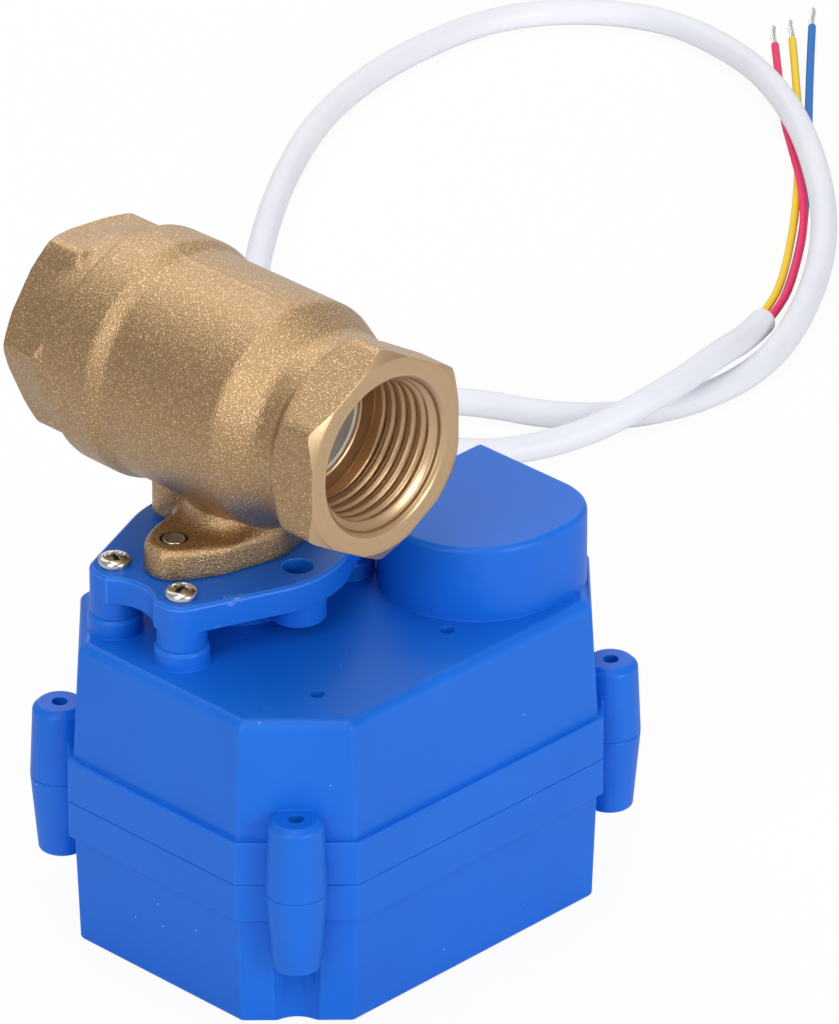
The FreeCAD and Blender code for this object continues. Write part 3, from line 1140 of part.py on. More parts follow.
def circuit_board():
    """Board on top of the two switches, with its lead connector, driver chip and capacitor."""
    board = body("board")
    outline = sketch(board, "board_outline", "XY_Plane", along=BOARD_LOW)
    front = "(dims.center_y - dims.belt_half_width + dims.wall_inset + dims.board_margin)"
    right = "(dims.motor_x - dims.motor_radius - dims.board_margin + 0.5)"
    left = "(dims.switch_reach + dims.switch_depth + 1.2)"
    inner = "(dims.switch_reach - 0.5)"
    end = "(dims.switch_length / 2 - 0.9)"
    polygon(outline, [(f"4 - {left}", front), (right, front), (right, f"-{inner}"), (f"-{inner}", f"-{inner}"),
                      (f"-{inner}", end), (f"-{left}", end), (f"-{left}", f"{front} + 4")])
    feature(board, "Pad", "laminate", outline, "dims.board_thickness")
    top = f"{BOARD_LOW} + dims.board_thickness - 0.1"
    parts = sketch(board, "connector_outline", "XY_Plane", along=top)
    polygon(parts, [("3", "-16"), (CONNECTOR_FACE, "-16"), (CONNECTOR_FACE, "-10"), ("3", "-10")])
    feature(board, "Pad", "connector", parts, "dims.board_headroom - 1.9")
    chips = sketch(board, "chip_outline", "XY_Plane", along=top)
    polygon(chips, [("-7", "-18"), ("-2", "-18"), ("-2", "-14"), ("-7", "-14")])
    feature(board, "Pad", "chip", chips, "1.6")
    cans = circles(board, "capacitor_outline", [("-3", "-22.4")], "2.5", top)
    feature(board, "Pad", "capacitor", cans, "dims.board_headroom - 1.6")
    keep("circuit_board", board)


# Cable entry and cable

GLAND_FACE = "(dims.center_x + dims.gland_boss_reach)"
GLAND_INNER = "(dims.center_x + dims.belt_half_length - dims.wall_inset)"


def cable_gland():
    """Rubber grommet: inner flange, neck in the wall, outer flange and tapered strain relief."""
    place = ("dims.gland_y", "dims.gland_height")
    inner = cylinder("gland_inner", "dims.gland_radius", "dims.gland_flange", f"{GLAND_INNER} - dims.gland_flange",
                     *place, axis=(1, 0, 0))
    neck = cylinder("gland_wall", "dims.gland_neck", f"{GLAND_FACE} - {GLAND_INNER}", GLAND_INNER, *place,
                    axis=(1, 0, 0))
    outer = cylinder("gland_outer", "dims.gland_radius", "dims.gland_flange", GLAND_FACE, *place, axis=(1, 0, 0))
    relief = cone("gland_relief", "dims.gland_neck + 0.3", "dims.cable_diameter / 2 + 0.5", "dims.gland_length",
                  f"{GLAND_FACE} + dims.gland_flange", *place, axis=(1, 0, 0))
    keep("cable_gland", fuse("cable_gland", [inner, neck, outer, relief]))


def rounded_path(points, name):
    """Runs joined by tangent arcs, each with 0.45 of the shorter run as its tangent length."""
    spots = [Vector(*point) for point in points]
    edges, radii = [], []
    begin = spots[0]
    for before, spot, after in zip(spots, spots[1:], spots[2:]):
        back, ahead = before - spot, after - spot
        tangent = 0.45 * min(back.Length, ahead.Length)
        back.normalize()
        ahead.normalize()
        half = 0.5 * (math.pi - back.getAngle(ahead))
        radii.append(tangent / math.tan(half))
        start, end = spot + back * tangent, spot + ahead * tangent
        inward = back + ahead
        inward.normalize()
        middle = spot + inward * (radii[-1] / math.cos(half) - radii[-1])
        edges += [Part.LineSegment(begin, start).toShape(), Part.Arc(start, middle, end).toShape()]
        begin = end
    edges.append(Part.LineSegment(begin, spots[-1]).toShape())
    print(f"{name}: least radius {min(radii):.1f} mm of {len(radii)} bends")
    return Part.Wire(edges)


def cord(node, route, diameter, sides):
    """Cord with a few flat sides swept along its route, checked against section times length."""
    path = rounded_path(route, node)
    heading = Vector(*route[1]) - Vector(*route[0])
    aim = Rotation(Vector(0, 0, 1), heading)
    corners = []
    for k in range(sides + 1):
        lean = 2 * math.pi * k / sides
        spoke = Vector(diameter / 2 * math.cos(lean), diameter / 2 * math.sin(lean), 0)
        corners.append(Vector(*route[0]) + aim.multVec(spoke))
    solid = path.makePipeShell([Part.makePolygon(corners)], True, False)
    expected = sides / 8 * diameter ** 2 * math.sin(2 * math.pi / sides) * path.Length
    print(f"{node}: {path.Length:.1f} mm long, volume {solid.Volume / expected:.4f} of section times length")
    item = doc.addObject("Part::Feature", node)
    item.Shape = solid
    return item


def cable():
    """Outer jacket, three insulated wires and their bare ends."""
    keep("cable_jacket", cord("cable_jacket", CABLE_ROUTE, value("dims.cable_diameter"), 8))
    tips = []
    for node, route in (("yellow_wire", YELLOW_ROUTE), ("red_wire", RED_ROUTE), ("blue_wire", BLUE_ROUTE)):
        keep(node, cord(node, route, value("dims.wire_diameter"), 6))
        end = Vector(*route[-1])
        heading = end - Vector(*route[-2])
        heading.normalize()
        thin = value("dims.strand_diameter / 2")
        tips.append(Part.makeCylinder(thin, 7.0, end, heading))
    item = doc.addObject("Part::Feature", "wire_ends")
    item.Shape = Part.makeCompound(tips)
    keep("wire_ends", item)


def board_leads():
    """Three leads inside the housing, from the grommet to the board's connector."""
    leads = []
    inner = value(f"{GLAND_INNER} - dims.gland_flange")
    side, level = value("dims.gland_y"), value("dims.gland_height")
    spread = value("dims.wire_diameter") * 1.25
    for k in (-1, 0, 1):
        aside = side + k * spread
        route = [(inner, aside, level), (inner - 9.2, aside - 1.2, level + 1.6),
                 (inner - 16.7, aside - 7.5, level + 4.2), (inner - 23.2, aside - 13.9, level + 4.6),
                 (value(CONNECTOR_FACE) + 0.05, aside - 14.5, level + 4.6)]
        leads.append(cord(f"lead_{k + 1}", route, value("dims.wire_diameter"), 6).Shape)
    item = doc.addObject("Part::Feature", "board_leads")
    item.Shape = Part.makeCompound(leads)
    keep("board_leads", item)


def build():
    """Make every sub-part."""
    valve_body()
    end_adapter()
    seat_ring("front_seat", -1)
    seat_ring("rear_seat", 1)
    ball()
    stem()
    mounting_bracket()
    bracket_screws()
    flange_screws()
    gearbox_housing()
    bottom_cover()
    housing_gasket()
    cover_screws()
    gear_train()
    limit_cam()
    gear_pins()
    gear_plate()
    plate_screws()
    motor()
    shaft_seal()
    limit_switch("open_switch", "x")
    limit_switch("closed_switch", "y")
    circuit_board()
    cable_gland()
    cable()
    board_leads()


def check_and_export():
    """Stop on any failed object or unsound solid, then write each sub-part to its own file."""
    doc.recompute()
    bad = [item.Name for item in doc.Objects if {"Invalid", "Error"} & set(item.State)]
    unsound = [node for node, item in nodes.items() if item.Shape.isNull() or not item.Shape.isValid()
               or not item.Shape.Solids]
    if bad or unsound:
        raise RuntimeError(f"failed objects {bad}, unsound solids {unsound}")
    os.makedirs("parts", exist_ok=True)
    for node, item in nodes.items():
        item.Shape.exportStep(f"parts/{node}.step")
    print(f"{len(nodes)} sub-parts written")


build()
check_and_export()
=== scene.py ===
"""Looks of the motorized ball valve: cast brass body, blue actuator, white cable with three bare-ended wires.

Sizes in the shape functions are millimetres in the part's own frame, and MM turns them into metres.
"""
import math

import bmesh
import bpy
import numpy as np
from mathutils import Matrix, Vector
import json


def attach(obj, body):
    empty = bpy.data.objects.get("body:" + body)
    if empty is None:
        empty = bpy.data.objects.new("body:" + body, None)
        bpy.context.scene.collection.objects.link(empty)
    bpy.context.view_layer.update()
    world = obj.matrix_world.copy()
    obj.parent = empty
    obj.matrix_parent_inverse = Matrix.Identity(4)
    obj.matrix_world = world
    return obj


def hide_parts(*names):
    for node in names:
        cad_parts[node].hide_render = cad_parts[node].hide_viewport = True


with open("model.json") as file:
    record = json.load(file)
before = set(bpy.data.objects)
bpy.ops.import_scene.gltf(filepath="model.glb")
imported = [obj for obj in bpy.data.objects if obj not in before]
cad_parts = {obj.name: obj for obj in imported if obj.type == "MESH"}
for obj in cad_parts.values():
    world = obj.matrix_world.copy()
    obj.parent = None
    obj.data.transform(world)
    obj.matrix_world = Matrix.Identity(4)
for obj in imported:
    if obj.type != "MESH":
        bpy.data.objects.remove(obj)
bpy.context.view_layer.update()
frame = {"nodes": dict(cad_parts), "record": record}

MM = 0.001
TURN = 2 * math.pi

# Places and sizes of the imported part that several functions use
MIDDLE_X, MIDDLE_Y = 9.6, -8.5
HALF_LENGTH, HALF_WIDTH, CORNER_LEG = 34.2, 26.8, 11.25
LUG_X, LUG_Y = 29.4, 21.9
ROOF_TOP, ROOF_RING = 44.7, 43.5
POCKET_RING, POCKET_TOP = 54.6, 55.5
DIMPLES = ((-10.5, -25.1), (13.4, -25.2))
PLATE_TOP = 54.0
PLATE_NICKS = (((-12.4, -11.1, 54.0), 1.2), ((-10.9, -11.7, 54.0), 0.9), ((-14.2, -11.0, 50.2), 0.7))
PIPE_HEIGHT = 76.1
FRONT_FACE, SEAM, REAR_FACE = -27.3, 18.6, 28.9
FRONT_CORNER, REAR_CORNER = 15.4, 15.25
REAR_TURN = math.radians(35.8)
BARREL_RADIUS = 15.6
CAVITY_RADIUS, CHAMBER_RADIUS, MOUTH_RADIUS = 12.4, 12.95, 11.3
THREAD_PITCH, THREAD_RADIUS, THREAD_DEPTH = 1.814, 10.48, 10.9
LIP_RADIUS = 8.3
BALL_RADIUS, BALL_BORE = 12.0, 7.5
EAR_DISTANCE, EAR_RADIUS, EAR_BORE = 11.55, 4.0, 1.9
NECK_RADIUS, STEM_BORE = 6.6, 3.95
LOBE_PLACE, LOBE_RADIUS = (0, 10.2), 4.0

# Routes of the cords and their sizes; lengths in metres
CABLE_ROUTE = [
    (49.1, 1.5, 34.0), (60.0, 1.5, 33.4), (71.0, 8.0, 29.0), (76.5, 22.0, 21.0), (76.8, 38.5, 12.4),
    (73.8, 55.5, 5.6), (73.4, 73.6, 2.0), (86.6, 87.6, 2.0), (105.8, 87.0, 2.0), (118.8, 74.5, 2.0),
    (124.8, 59.5, 2.0), (137.5, 50.2, 2.0), (156.0, 49.5, 2.0), (174.5, 58.0, 2.2), (191.5, 69.5, 3.7),
    (206.0, 85.0, 5.2), (219.0, 103.0, 5.1), (229.3, 122.0, 2.8), (231.6, 142.6, 2.0), (217.0, 159.0, 2.0),
    (193.6, 160.6, 2.0), (171.6, 155.2, 2.0), (151.6, 144.0, 2.0), (132.6, 130.0, 2.0), (114.0, 113.3, 3.4),
    (103.2, 95.0, 6.9), (98.5, 77.5, 6.7), (103.8, 62.1, 2.6), (119.5, 53.2, 2.6), (135.6, 48.9, 6.8),
    (149.5, 51.6, 6.8), (158.6, 55.6, 3.9), (166.6, 59.7, 2.2),
]
YELLOW_ROUTE = [
    (166.3, 60.4, 2.4), (172.6, 63.2, 1.9), (180.3, 68.0, 1.8), (192.4, 77.2, 1.75), (204.6, 87.5, 0.64),
    (217.5, 99.0, 0.62), (230.5, 111.5, 0.62), (241.8, 122.8, 0.62),
]
RED_ROUTE = [
    (166.95, 59.05, 2.4), (173.5, 61.9, 1.95), (181.3, 66.9, 1.85), (193.6, 76.0, 1.9), (203.2, 85.2, 2.1),
    (212.0, 95.6, 2.1), (220.3, 104.9, 0.9), (229.4, 114.1, 0.62), (238.5, 123.4, 0.62),
]
BLUE_ROUTE = [
    (166.45, 59.6, 1.35), (173.5, 62.65, 0.72), (181.2, 67.3, 0.62), (193.5, 76.3, 0.62), (204.0, 85.2, 0.62),
    (216.8, 96.5, 0.62), (232.6, 110.8, 0.62), (247.3, 123.7, 0.62),
]
CABLE_DIAMETER = 4.0
WIRE_DIAMETER = 1.24
BARE_LENGTH = 7.0


def added(name, data):
    """New object with its data, in the scene."""
    item = bpy.data.objects.new(name, data)
    bpy.context.scene.collection.objects.link(item)
    return item


# Camera

def place_camera():
    """Long lens at the photograph's azimuth and elevation, aimed at the middle of its frame."""
    data = bpy.data.cameras.new("camera")
    data.sensor_fit = "VERTICAL"
    data.sensor_height = 36
    data.lens = 362.98
    data.clip_start, data.clip_end = 0.1, 20
    ahead = Vector((0.62764767, 0.61517237, -0.4770968))
    right = Vector((0.69998078, -0.71416168, 0))
    up = right.cross(ahead)
    camera = added("camera", data)
    turn = Matrix((right, up, -ahead)).transposed().to_4x4()
    camera.matrix_world = Matrix.Translation((-0.828306, -0.845111, 0.700011)) @ turn
    bpy.context.scene.camera = camera


# Shader helpers

def add(tree, kind, inputs=(), **settings):
    """New node with its settings and the values of its unlinked sockets."""
    item = tree.nodes.new(kind)
    for name, setting in settings.items():
        setattr(item, name, setting)
    for name, setting in dict(inputs).items():
        item.inputs[name].default_value = setting
    return item


def group(name, inputs, outputs):
    """Empty group with these inputs and float outputs; gives its tree, its input node and its output node."""
    tree = bpy.data.node_groups.new(name, "ShaderNodeTree")
    for socket, (kind, default) in inputs.items():
        made = tree.interface.new_socket(socket, in_out="INPUT", socket_type=kind)
        if default is not None:
            made.default_value = default
    for socket in outputs:
        tree.interface.new_socket(socket, in_out="OUTPUT", socket_type="NodeSocketFloat")
    return tree, tree.nodes.new("NodeGroupInput"), tree.nodes.new("NodeGroupOutput")


def grain_group():
    """Sand grain: noise at the grain size lifts the surface, its peaks give the mask of a painted glint, slow
    noise varies the tone.
    """
    tree, given, result = group(
        "grain", {"Vector": ("NodeSocketVector", None), "Size": ("NodeSocketFloat", 2000.0)},
        ["Height", "Painted Glint", "Tone"])
    link = tree.links.new
    fine = add(tree, "ShaderNodeTexNoise", {"Detail": 3.0, "Roughness": 0.62})
    cells = add(tree, "ShaderNodeTexVoronoi", feature="F1")
    slow = add(tree, "ShaderNodeTexNoise", {"Scale": 130.0, "Detail": 3.0})
    wider = add(tree, "ShaderNodeMath", {1: 1.35}, operation="MULTIPLY")
    for texture in (fine, cells, slow):
        link(given.outputs["Vector"], texture.inputs["Vector"])
    link(given.outputs["Size"], fine.inputs["Scale"])
    link(given.outputs["Size"], wider.inputs[0])
    link(wider.outputs[0], cells.inputs["Scale"])
    both = add(tree, "ShaderNodeMath", operation="SUBTRACT")
    link(fine.outputs["Fac"], both.inputs[0])
    half = add(tree, "ShaderNodeMath", {1: 0.45}, operation="MULTIPLY")
    link(cells.outputs["Distance"], half.inputs[0])
    link(half.outputs[0], both.inputs[1])
    peak = add(tree, "ShaderNodeMapRange", {"From Min": 0.30, "From Max": 0.52})
    link(both.outputs[0], peak.inputs["Value"])
    link(both.outputs[0], result.inputs["Height"])
    link(peak.outputs["Result"], result.inputs["Painted Glint"])
    link(slow.outputs["Fac"], result.inputs["Tone"])
    return tree


def handling_group():
    """Handling marks: rare specks of dust, scratches where stretched noise crosses a level, and smudges."""
    tree, given, result = group(
        "handling", {"Vector": ("NodeSocketVector", None), "Specks": ("NodeSocketFloat", 0.05)},
        ["Speck", "Scratch", "Smudge"])
    link = tree.links.new
    cells = add(tree, "ShaderNodeTexVoronoi", {"Scale": 330.0}, feature="F1")
    chance = add(tree, "ShaderNodeMath", operation="LESS_THAN")
    close = add(tree, "ShaderNodeMath", {1: 0.045}, operation="LESS_THAN")
    speck = add(tree, "ShaderNodeMath", operation="MULTIPLY")
    link(given.outputs["Vector"], cells.inputs["Vector"])
    split = add(tree, "ShaderNodeSeparateColor")
    link(cells.outputs["Color"], split.inputs["Color"])
    link(split.outputs["Red"], chance.inputs[0])
    link(given.outputs["Specks"], chance.inputs[1])
    link(cells.outputs["Distance"], close.inputs[0])
    link(chance.outputs[0], speck.inputs[0])
    link(close.outputs[0], speck.inputs[1])
    tilt = add(tree, "ShaderNodeMapping", {"Rotation": (0.3, 0.5, 0.9), "Scale": (1.0, 14.0, 3.0)})
    streak = add(tree, "ShaderNodeTexNoise", {"Scale": 60.0, "Detail": 2.0})
    level = add(tree, "ShaderNodeMath", {1: 0.5, 2: 0.004}, operation="COMPARE")
    link(given.outputs["Vector"], tilt.inputs["Vector"])
    link(tilt.outputs["Vector"], streak.inputs["Vector"])
    link(streak.outputs["Fac"], level.inputs[0])
    where = add(tree, "ShaderNodeTexNoise", {"Scale": 45.0, "Detail": 1.0})
    gate = add(tree, "ShaderNodeMath", {1: 0.6}, operation="GREATER_THAN")
    scratch = add(tree, "ShaderNodeMath", operation="MULTIPLY")
    link(given.outputs["Vector"], where.inputs["Vector"])
    link(where.outputs["Fac"], gate.inputs[0])
    link(level.outputs[0], scratch.inputs[0])
    link(gate.outputs[0], scratch.inputs[1])
    smudge = add(tree, "ShaderNodeTexNoise", {"Scale": 70.0, "Detail": 4.0, "Roughness": 0.6})
    link(given.outputs["Vector"], smudge.inputs["Vector"])
    link(speck.outputs[0], result.inputs["Speck"])
    link(scratch.outputs[0], result.inputs["Scratch"])
    link(smudge.outputs["Fac"], result.inputs["Smudge"])
    return tree


def lathe_group():
    """Turning marks: fine rings round the pipe axis, from the distance to it and the place along it."""
    tree, given, result = group(
        "lathe", {"Vector": ("NodeSocketVector", None), "Pitch": ("NodeSocketFloat", 9000.0)},
        ["Height", "Band"])
    link = tree.links.new
    parts = add(tree, "ShaderNodeSeparateXYZ")
    link(given.outputs["Vector"], parts.inputs["Vector"])
    lowered = add(tree, "ShaderNodeMath", {1: PIPE_HEIGHT * MM}, operation="SUBTRACT")
    link(parts.outputs["Z"], lowered.inputs[0])
    flat = add(tree, "ShaderNodeCombineXYZ")
    link(parts.outputs["X"], flat.inputs["X"])
    link(lowered.outputs[0], flat.inputs["Y"])
    reach = add(tree, "ShaderNodeVectorMath", operation="LENGTH")
    link(flat.outputs["Vector"], reach.inputs[0])
    rings = add(tree, "ShaderNodeCombineXYZ")
    link(reach.outputs["Value"], rings.inputs["X"])
    link(parts.outputs["Y"], rings.inputs["Y"])
    marks = add(tree, "ShaderNodeTexNoise", {"Detail": 2.0, "Roughness": 0.7})
    link(rings.outputs["Vector"], marks.inputs["Vector"])
    link(given.outputs["Pitch"], marks.inputs["Scale"])
    bands = add(tree, "ShaderNodeTexNoise", {"Scale": 900.0, "Detail": 1.0})
    link(rings.outputs["Vector"], bands.inputs["Vector"])
    link(marks.outputs["Fac"], result.inputs["Height"])
    link(bands.outputs["Fac"], result.inputs["Band"])
    return tree


GRAIN, HANDLING, LATHE = grain_group(), handling_group(), lathe_group()


def blank_material(name, shown, **settings):
    """Material with a Principled shader set to plain values, and the object's own coordinates."""
    material = bpy.data.materials.new(name)
    material.use_nodes = True
    material.diffuse_color = (*shown, 1)
    tree = material.node_tree
    shader = tree.nodes["Principled BSDF"]
    for socket, setting in settings.items():
        shader.inputs[socket.replace("_", " ")].default_value = setting
    place = add(tree, "ShaderNodeTexCoord")
    return material, tree, shader, place.outputs["Object"]


def use(tree, kit, place, inputs=()):
    """Shared group placed in a material, reading the object's coordinates."""
    item = add(tree, "ShaderNodeGroup", node_tree=kit)
    tree.links.new(place, item.inputs["Vector"])
    for name, setting in dict(inputs).items():
        item.inputs[name].default_value = setting
    return item


def mix(tree, factor, first, second):
    """Colour between two colours or sockets, by a factor socket."""
    item = add(tree, "ShaderNodeMix", data_type="RGBA")
    tree.links.new(factor, item.inputs["Factor"])
    for number, colour in ((6, first), (7, second)):
        if isinstance(colour, tuple):
            item.inputs[number].default_value = (*colour, 1)
        else:
            tree.links.new(colour, item.inputs[number])
    return item.outputs[2]


def spread(tree, socket, low, high, start=0.0, end=1.0):
    """Number from low to high as the socket goes from start to end."""
    ends = {"From Min": start, "From Max": end, "To Min": low, "To Max": high}
    item = add(tree, "ShaderNodeMapRange", ends)
    tree.links.new(socket, item.inputs["Value"])
    return item.outputs["Result"]


def bumped(tree, shader, height, distance, strength=1.0, before=None):
    """Bump from a height socket, over an earlier bump if there is one."""
    item = add(tree, "ShaderNodeBump", {"Distance": distance, "Strength": strength})
    tree.links.new(height, item.inputs["Height"])
    if before:
        tree.links.new(before, item.inputs["Normal"])
    tree.links.new(item.outputs["Normal"], shader.inputs["Normal"])
    return item.outputs["Normal"]


def cast_brass():
    """Sand-cast brass: grains painted to sparkle, paler where they stand out as painted glint and brown in the
    hollows as painted shade, over a tone that varies at random.
    """
    material, tree, shader, place = blank_material("cast_brass", (0.43, 0.26, 0.12), Metallic=0.85)
    grain = use(tree, GRAIN, place, {"Size": 3400.0})
    marks = use(tree, HANDLING, place)
    tone = mix(tree, grain.outputs["Tone"], (0.84, 0.59, 0.35), (0.94, 0.685, 0.43))
    # painted glint and shade: grain peaks take the varying tone, hollows a dark brown
    low = mix(tree, grain.outputs["Painted Glint"], (0.42, 0.265, 0.13), tone)
    tree.links.new(low, shader.inputs["Base Color"])
    tree.links.new(spread(tree, marks.outputs["Smudge"], 0.27, 0.36, 0.3, 0.7), shader.inputs["Roughness"])
    bumped(tree, shader, grain.outputs["Height"], 0.00009, 0.9)
    return material


def machined_brass():
    """Turned brass: paler and smoother than the casting, with fine rings round the pipe axis."""
    material, tree, shader, place = blank_material("machined_brass", (0.62, 0.42, 0.23), Metallic=0.88)
    rings = use(tree, LATHE, place)
    marks = use(tree, HANDLING, place)
    tone = mix(tree, rings.outputs["Band"], (0.59, 0.395, 0.225), (0.70, 0.485, 0.285))
    tree.links.new(tone, shader.inputs["Base Color"])
    tree.links.new(spread(tree, marks.outputs["Smudge"], 0.27, 0.40, 0.3, 0.7), shader.inputs["Roughness"])
    bumped(tree, shader, rings.outputs["Height"], 0.00002, 0.5)
    return material


def polished(name, light, dark, rough):
    """Bright metal with slow smudges and hairline scratches."""
    material, tree, shader, place = blank_material(name, light, Metallic=1.0)
    marks = use(tree, HANDLING, place)
    tree.links.new(mix(tree, marks.outputs["Smudge"], dark, light), shader.inputs["Base Color"])
    tree.links.new(spread(tree, marks.outputs["Smudge"], rough * 0.7, rough * 1.4, 0.3, 0.7),
                   shader.inputs["Roughness"])
    bumped(tree, shader, marks.outputs["Scratch"], -0.00001, 0.4)
    return material


def nicked(tree, place, colour, nicks, pale):
    """Colour with pale chips, where fine noise is high within each nick's reach of its place."""
    chips = add(tree, "ShaderNodeTexNoise", {"Scale": 1500.0, "Detail": 3.0})
    tree.links.new(place, chips.inputs["Vector"])
    for spot, reach in nicks:
        away = add(tree, "ShaderNodeVectorMath", {1: Vector(spot) * MM}, operation="DISTANCE")
        tree.links.new(place, away.inputs[0])
        close = spread(tree, away.outputs["Value"], 1.0, 0.0, reach * 0.5 * MM, reach * MM)
        near = add(tree, "ShaderNodeMath", operation="MULTIPLY")
        tree.links.new(close, near.inputs[0])
        tree.links.new(spread(tree, chips.outputs["Fac"], 0.0, 0.55, 0.47, 0.56), near.inputs[1])
        colour = mix(tree, near.outputs[0], colour, pale)
    return colour


def moulded(name, colour, deep, rough=0.4, specks=0.06, dust=(0.35, 0.5, 0.8), grain=5200.0, nicks=(),
            **settings):
    """Moulded plastic: satin skin with a faint texture, cloudy tone, specks of dust, and nicks at places."""
    material, tree, shader, place = blank_material(name, colour, **settings)
    skin = use(tree, GRAIN, place, {"Size": grain})
    marks = use(tree, HANDLING, place, {"Specks": specks})
    cloudy = mix(tree, spread(tree, marks.outputs["Smudge"], 0.0, 1.0, 0.3, 0.7), deep, colour)
    dusty = mix(tree, spread(tree, marks.outputs["Speck"], 0.0, 0.75), cloudy, dust)
    if nicks:
        dusty = nicked(tree, place, dusty, nicks, dust)
    tree.links.new(dusty, shader.inputs["Base Color"])
    tree.links.new(spread(tree, marks.outputs["Smudge"], rough - 0.05, rough + 0.07, 0.3, 0.7),
                   shader.inputs["Roughness"])
    fine = bumped(tree, shader, skin.outputs["Height"], 0.00002, 0.35)
    bumped(tree, shader, marks.outputs["Smudge"], 0.0003, 0.10, fine)
    return material


FINISHES = {
    "brass_cast": cast_brass(),
    "brass_turned": machined_brass(),
    # warm tint on the chrome ball: painted reflection of the brass around it
    "chrome_ball": polished("ball_chrome_painted_reflection", (0.88, 0.81, 0.70), (0.80, 0.72, 0.60), 0.16),
    "ptfe": moulded("seat_ptfe", (0.80, 0.79, 0.75), (0.70, 0.69, 0.65), 0.32, 0.0),
    "black_rubber": moulded("seal_rubber", (0.03, 0.03, 0.03), (0.018, 0.018, 0.018), 0.6),
    "blue_plastic": moulded("blue_abs", (0.006, 0.147, 0.700), (0.004, 0.130, 0.645), 0.38, 0.25,
                            Specular_IOR_Level=0.28),
    # lighter blue on the rounded edges of housing and cover: painted highlight
    "blue_edge_highlight": moulded("blue_abs_edge_highlight", (0.008, 0.158, 0.715), (0.006, 0.138, 0.66), 0.36, 0.25,
                         Specular_IOR_Level=0.28),
    # lighter blue on the bracket's rounded edges: painted highlight
    "bracket_edge_highlight": moulded("plate_blue_edge_highlight", (0.030, 0.195, 0.76), (0.018, 0.160, 0.70), 0.36, 0.10,
                        Specular_IOR_Level=0.28),
    # a little darker than the housing's blue: painted shade under the valve; the pale nicks are real chips
    "blue_plate": moulded("plate_blue_painted_shade", (0.006, 0.143, 0.680), (0.004, 0.125, 0.625), 0.40, 0.10,
                          nicks=PLATE_NICKS, Specular_IOR_Level=0.28),
    "nickel_steel": polished("nickel", (0.72, 0.70, 0.67), (0.60, 0.58, 0.55), 0.16),
    # dark nickel for the faces in the screws' cross recesses: painted shade
    "recess": polished("recess_painted_shade", (0.20, 0.195, 0.19), (0.07, 0.07, 0.07), 0.35),
    "gear_plastic": moulded("acetal", (0.74, 0.73, 0.68), (0.66, 0.65, 0.60), 0.38, 0.02),
    "gear_steel": polished("steel", (0.46, 0.46, 0.46), (0.36, 0.36, 0.36), 0.30),
    "black_plastic": moulded("black_nylon", (0.035, 0.035, 0.037), (0.02, 0.02, 0.022), 0.45, 0.03),
    "board_green": moulded("solder_mask", (0.02, 0.17, 0.07), (0.015, 0.12, 0.05), 0.3, 0.02),
    "white_rubber": moulded("grommet_pvc", (0.72, 0.73, 0.79), (0.66, 0.67, 0.74), 0.45, 0.02),
    "white_pvc": moulded("cable_pvc", (0.86, 0.87, 0.92), (0.80, 0.81, 0.89), 0.38, 0.012, (0.5, 0.5, 0.5),
                         2600.0),
    "yellow_pvc": moulded("yellow_insulation", (0.98, 0.70, 0.04), (0.92, 0.63, 0.035), 0.36, 0.01,
                          Specular_IOR_Level=0.12),
    "red_pvc": moulded("red_insulation", (0.92, 0.03, 0.16), (0.84, 0.025, 0.14), 0.36, 0.01,
                       Specular_IOR_Level=0.12),
    "blue_pvc": moulded("blue_insulation", (0.014, 0.19, 0.60), (0.010, 0.16, 0.53), 0.36, 0.01,
                        Specular_IOR_Level=0.12),
    "tinned_copper": polished("tinned_strands", (0.86, 0.85, 0.83), (0.60, 0.59, 0.57), 0.26),
}
SLOT_OF = {row["node"]: row["material_slot"] for row in frame["record"]["subparts"]}
BODY_OF = {node: body for body, members in frame["record"]["behaviour"]["bodies"].items() for node in members}


# Mesh helpers

CREASE = 32.0


def patch(points, around=True, along=False, finish=0):
    """Four-sided faces over a grid of points: rows run along, columns run around, and either may close up."""
    rows, columns = points.shape[:2]
    row = np.arange(rows if along else rows - 1)[:, None]
    column = np.arange(columns if around else columns - 1)[None, :]
    beside = (column + 1) % columns
    above = (row + 1) % rows
    corners = [row * columns + column, row * columns + beside,
               above * columns + beside, above * columns + column]
    faces = np.stack(np.broadcast_arrays(*corners), axis=-1).reshape(-1, 4)
    finish = np.asarray(finish)
    if finish.ndim == 1:
        finish = finish[:len(row), None]
    finishes = np.broadcast_to(finish, (len(row), column.shape[1]))
    return points.reshape(-1, 3), faces, finishes.reshape(-1)


def joined(name, patches):
    """Mesh of several patches in millimetres, each face with its patch's finish."""
    places, faces, finishes, start = [], [], [], 0
    for spots, corners, finish in patches:
        places.append(spots)
        faces.append(corners + start)
        finishes.append(finish)
        start += len(spots)
    mesh = bpy.data.meshes.new(name)
    mesh.from_pydata((np.concatenate(places) * MM).tolist(), [], np.concatenate(faces).tolist())
    mesh.polygons.foreach_set("material_index", np.concatenate(finishes).astype(np.int32))
    return mesh


def make(name, patches, finishes, node, crease=CREASE, replace=True, slot=None):
    """Object from patches in millimetres; it rides on its node's body."""
    mesh = joined(name, patches)
    for finish in finishes:
        mesh.materials.append(FINISHES[finish])
    tidy = bmesh.new()
    tidy.from_mesh(mesh)
    bmesh.ops.remove_doubles(tidy, verts=tidy.verts, dist=1e-6)
    bmesh.ops.dissolve_degenerate(tidy, edges=tidy.edges, dist=1e-7)
    bmesh.ops.recalc_face_normals(tidy, faces=tidy.faces)
    tidy.to_mesh(mesh)
    tidy.free()
    mesh.shade_smooth()
    mesh.set_sharp_from_angle(angle=math.radians(crease))
    item = added(name, mesh)
    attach(item, BODY_OF[node])
    slot or SLOT_OF[node]
    if replace:
        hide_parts(node)
    return item


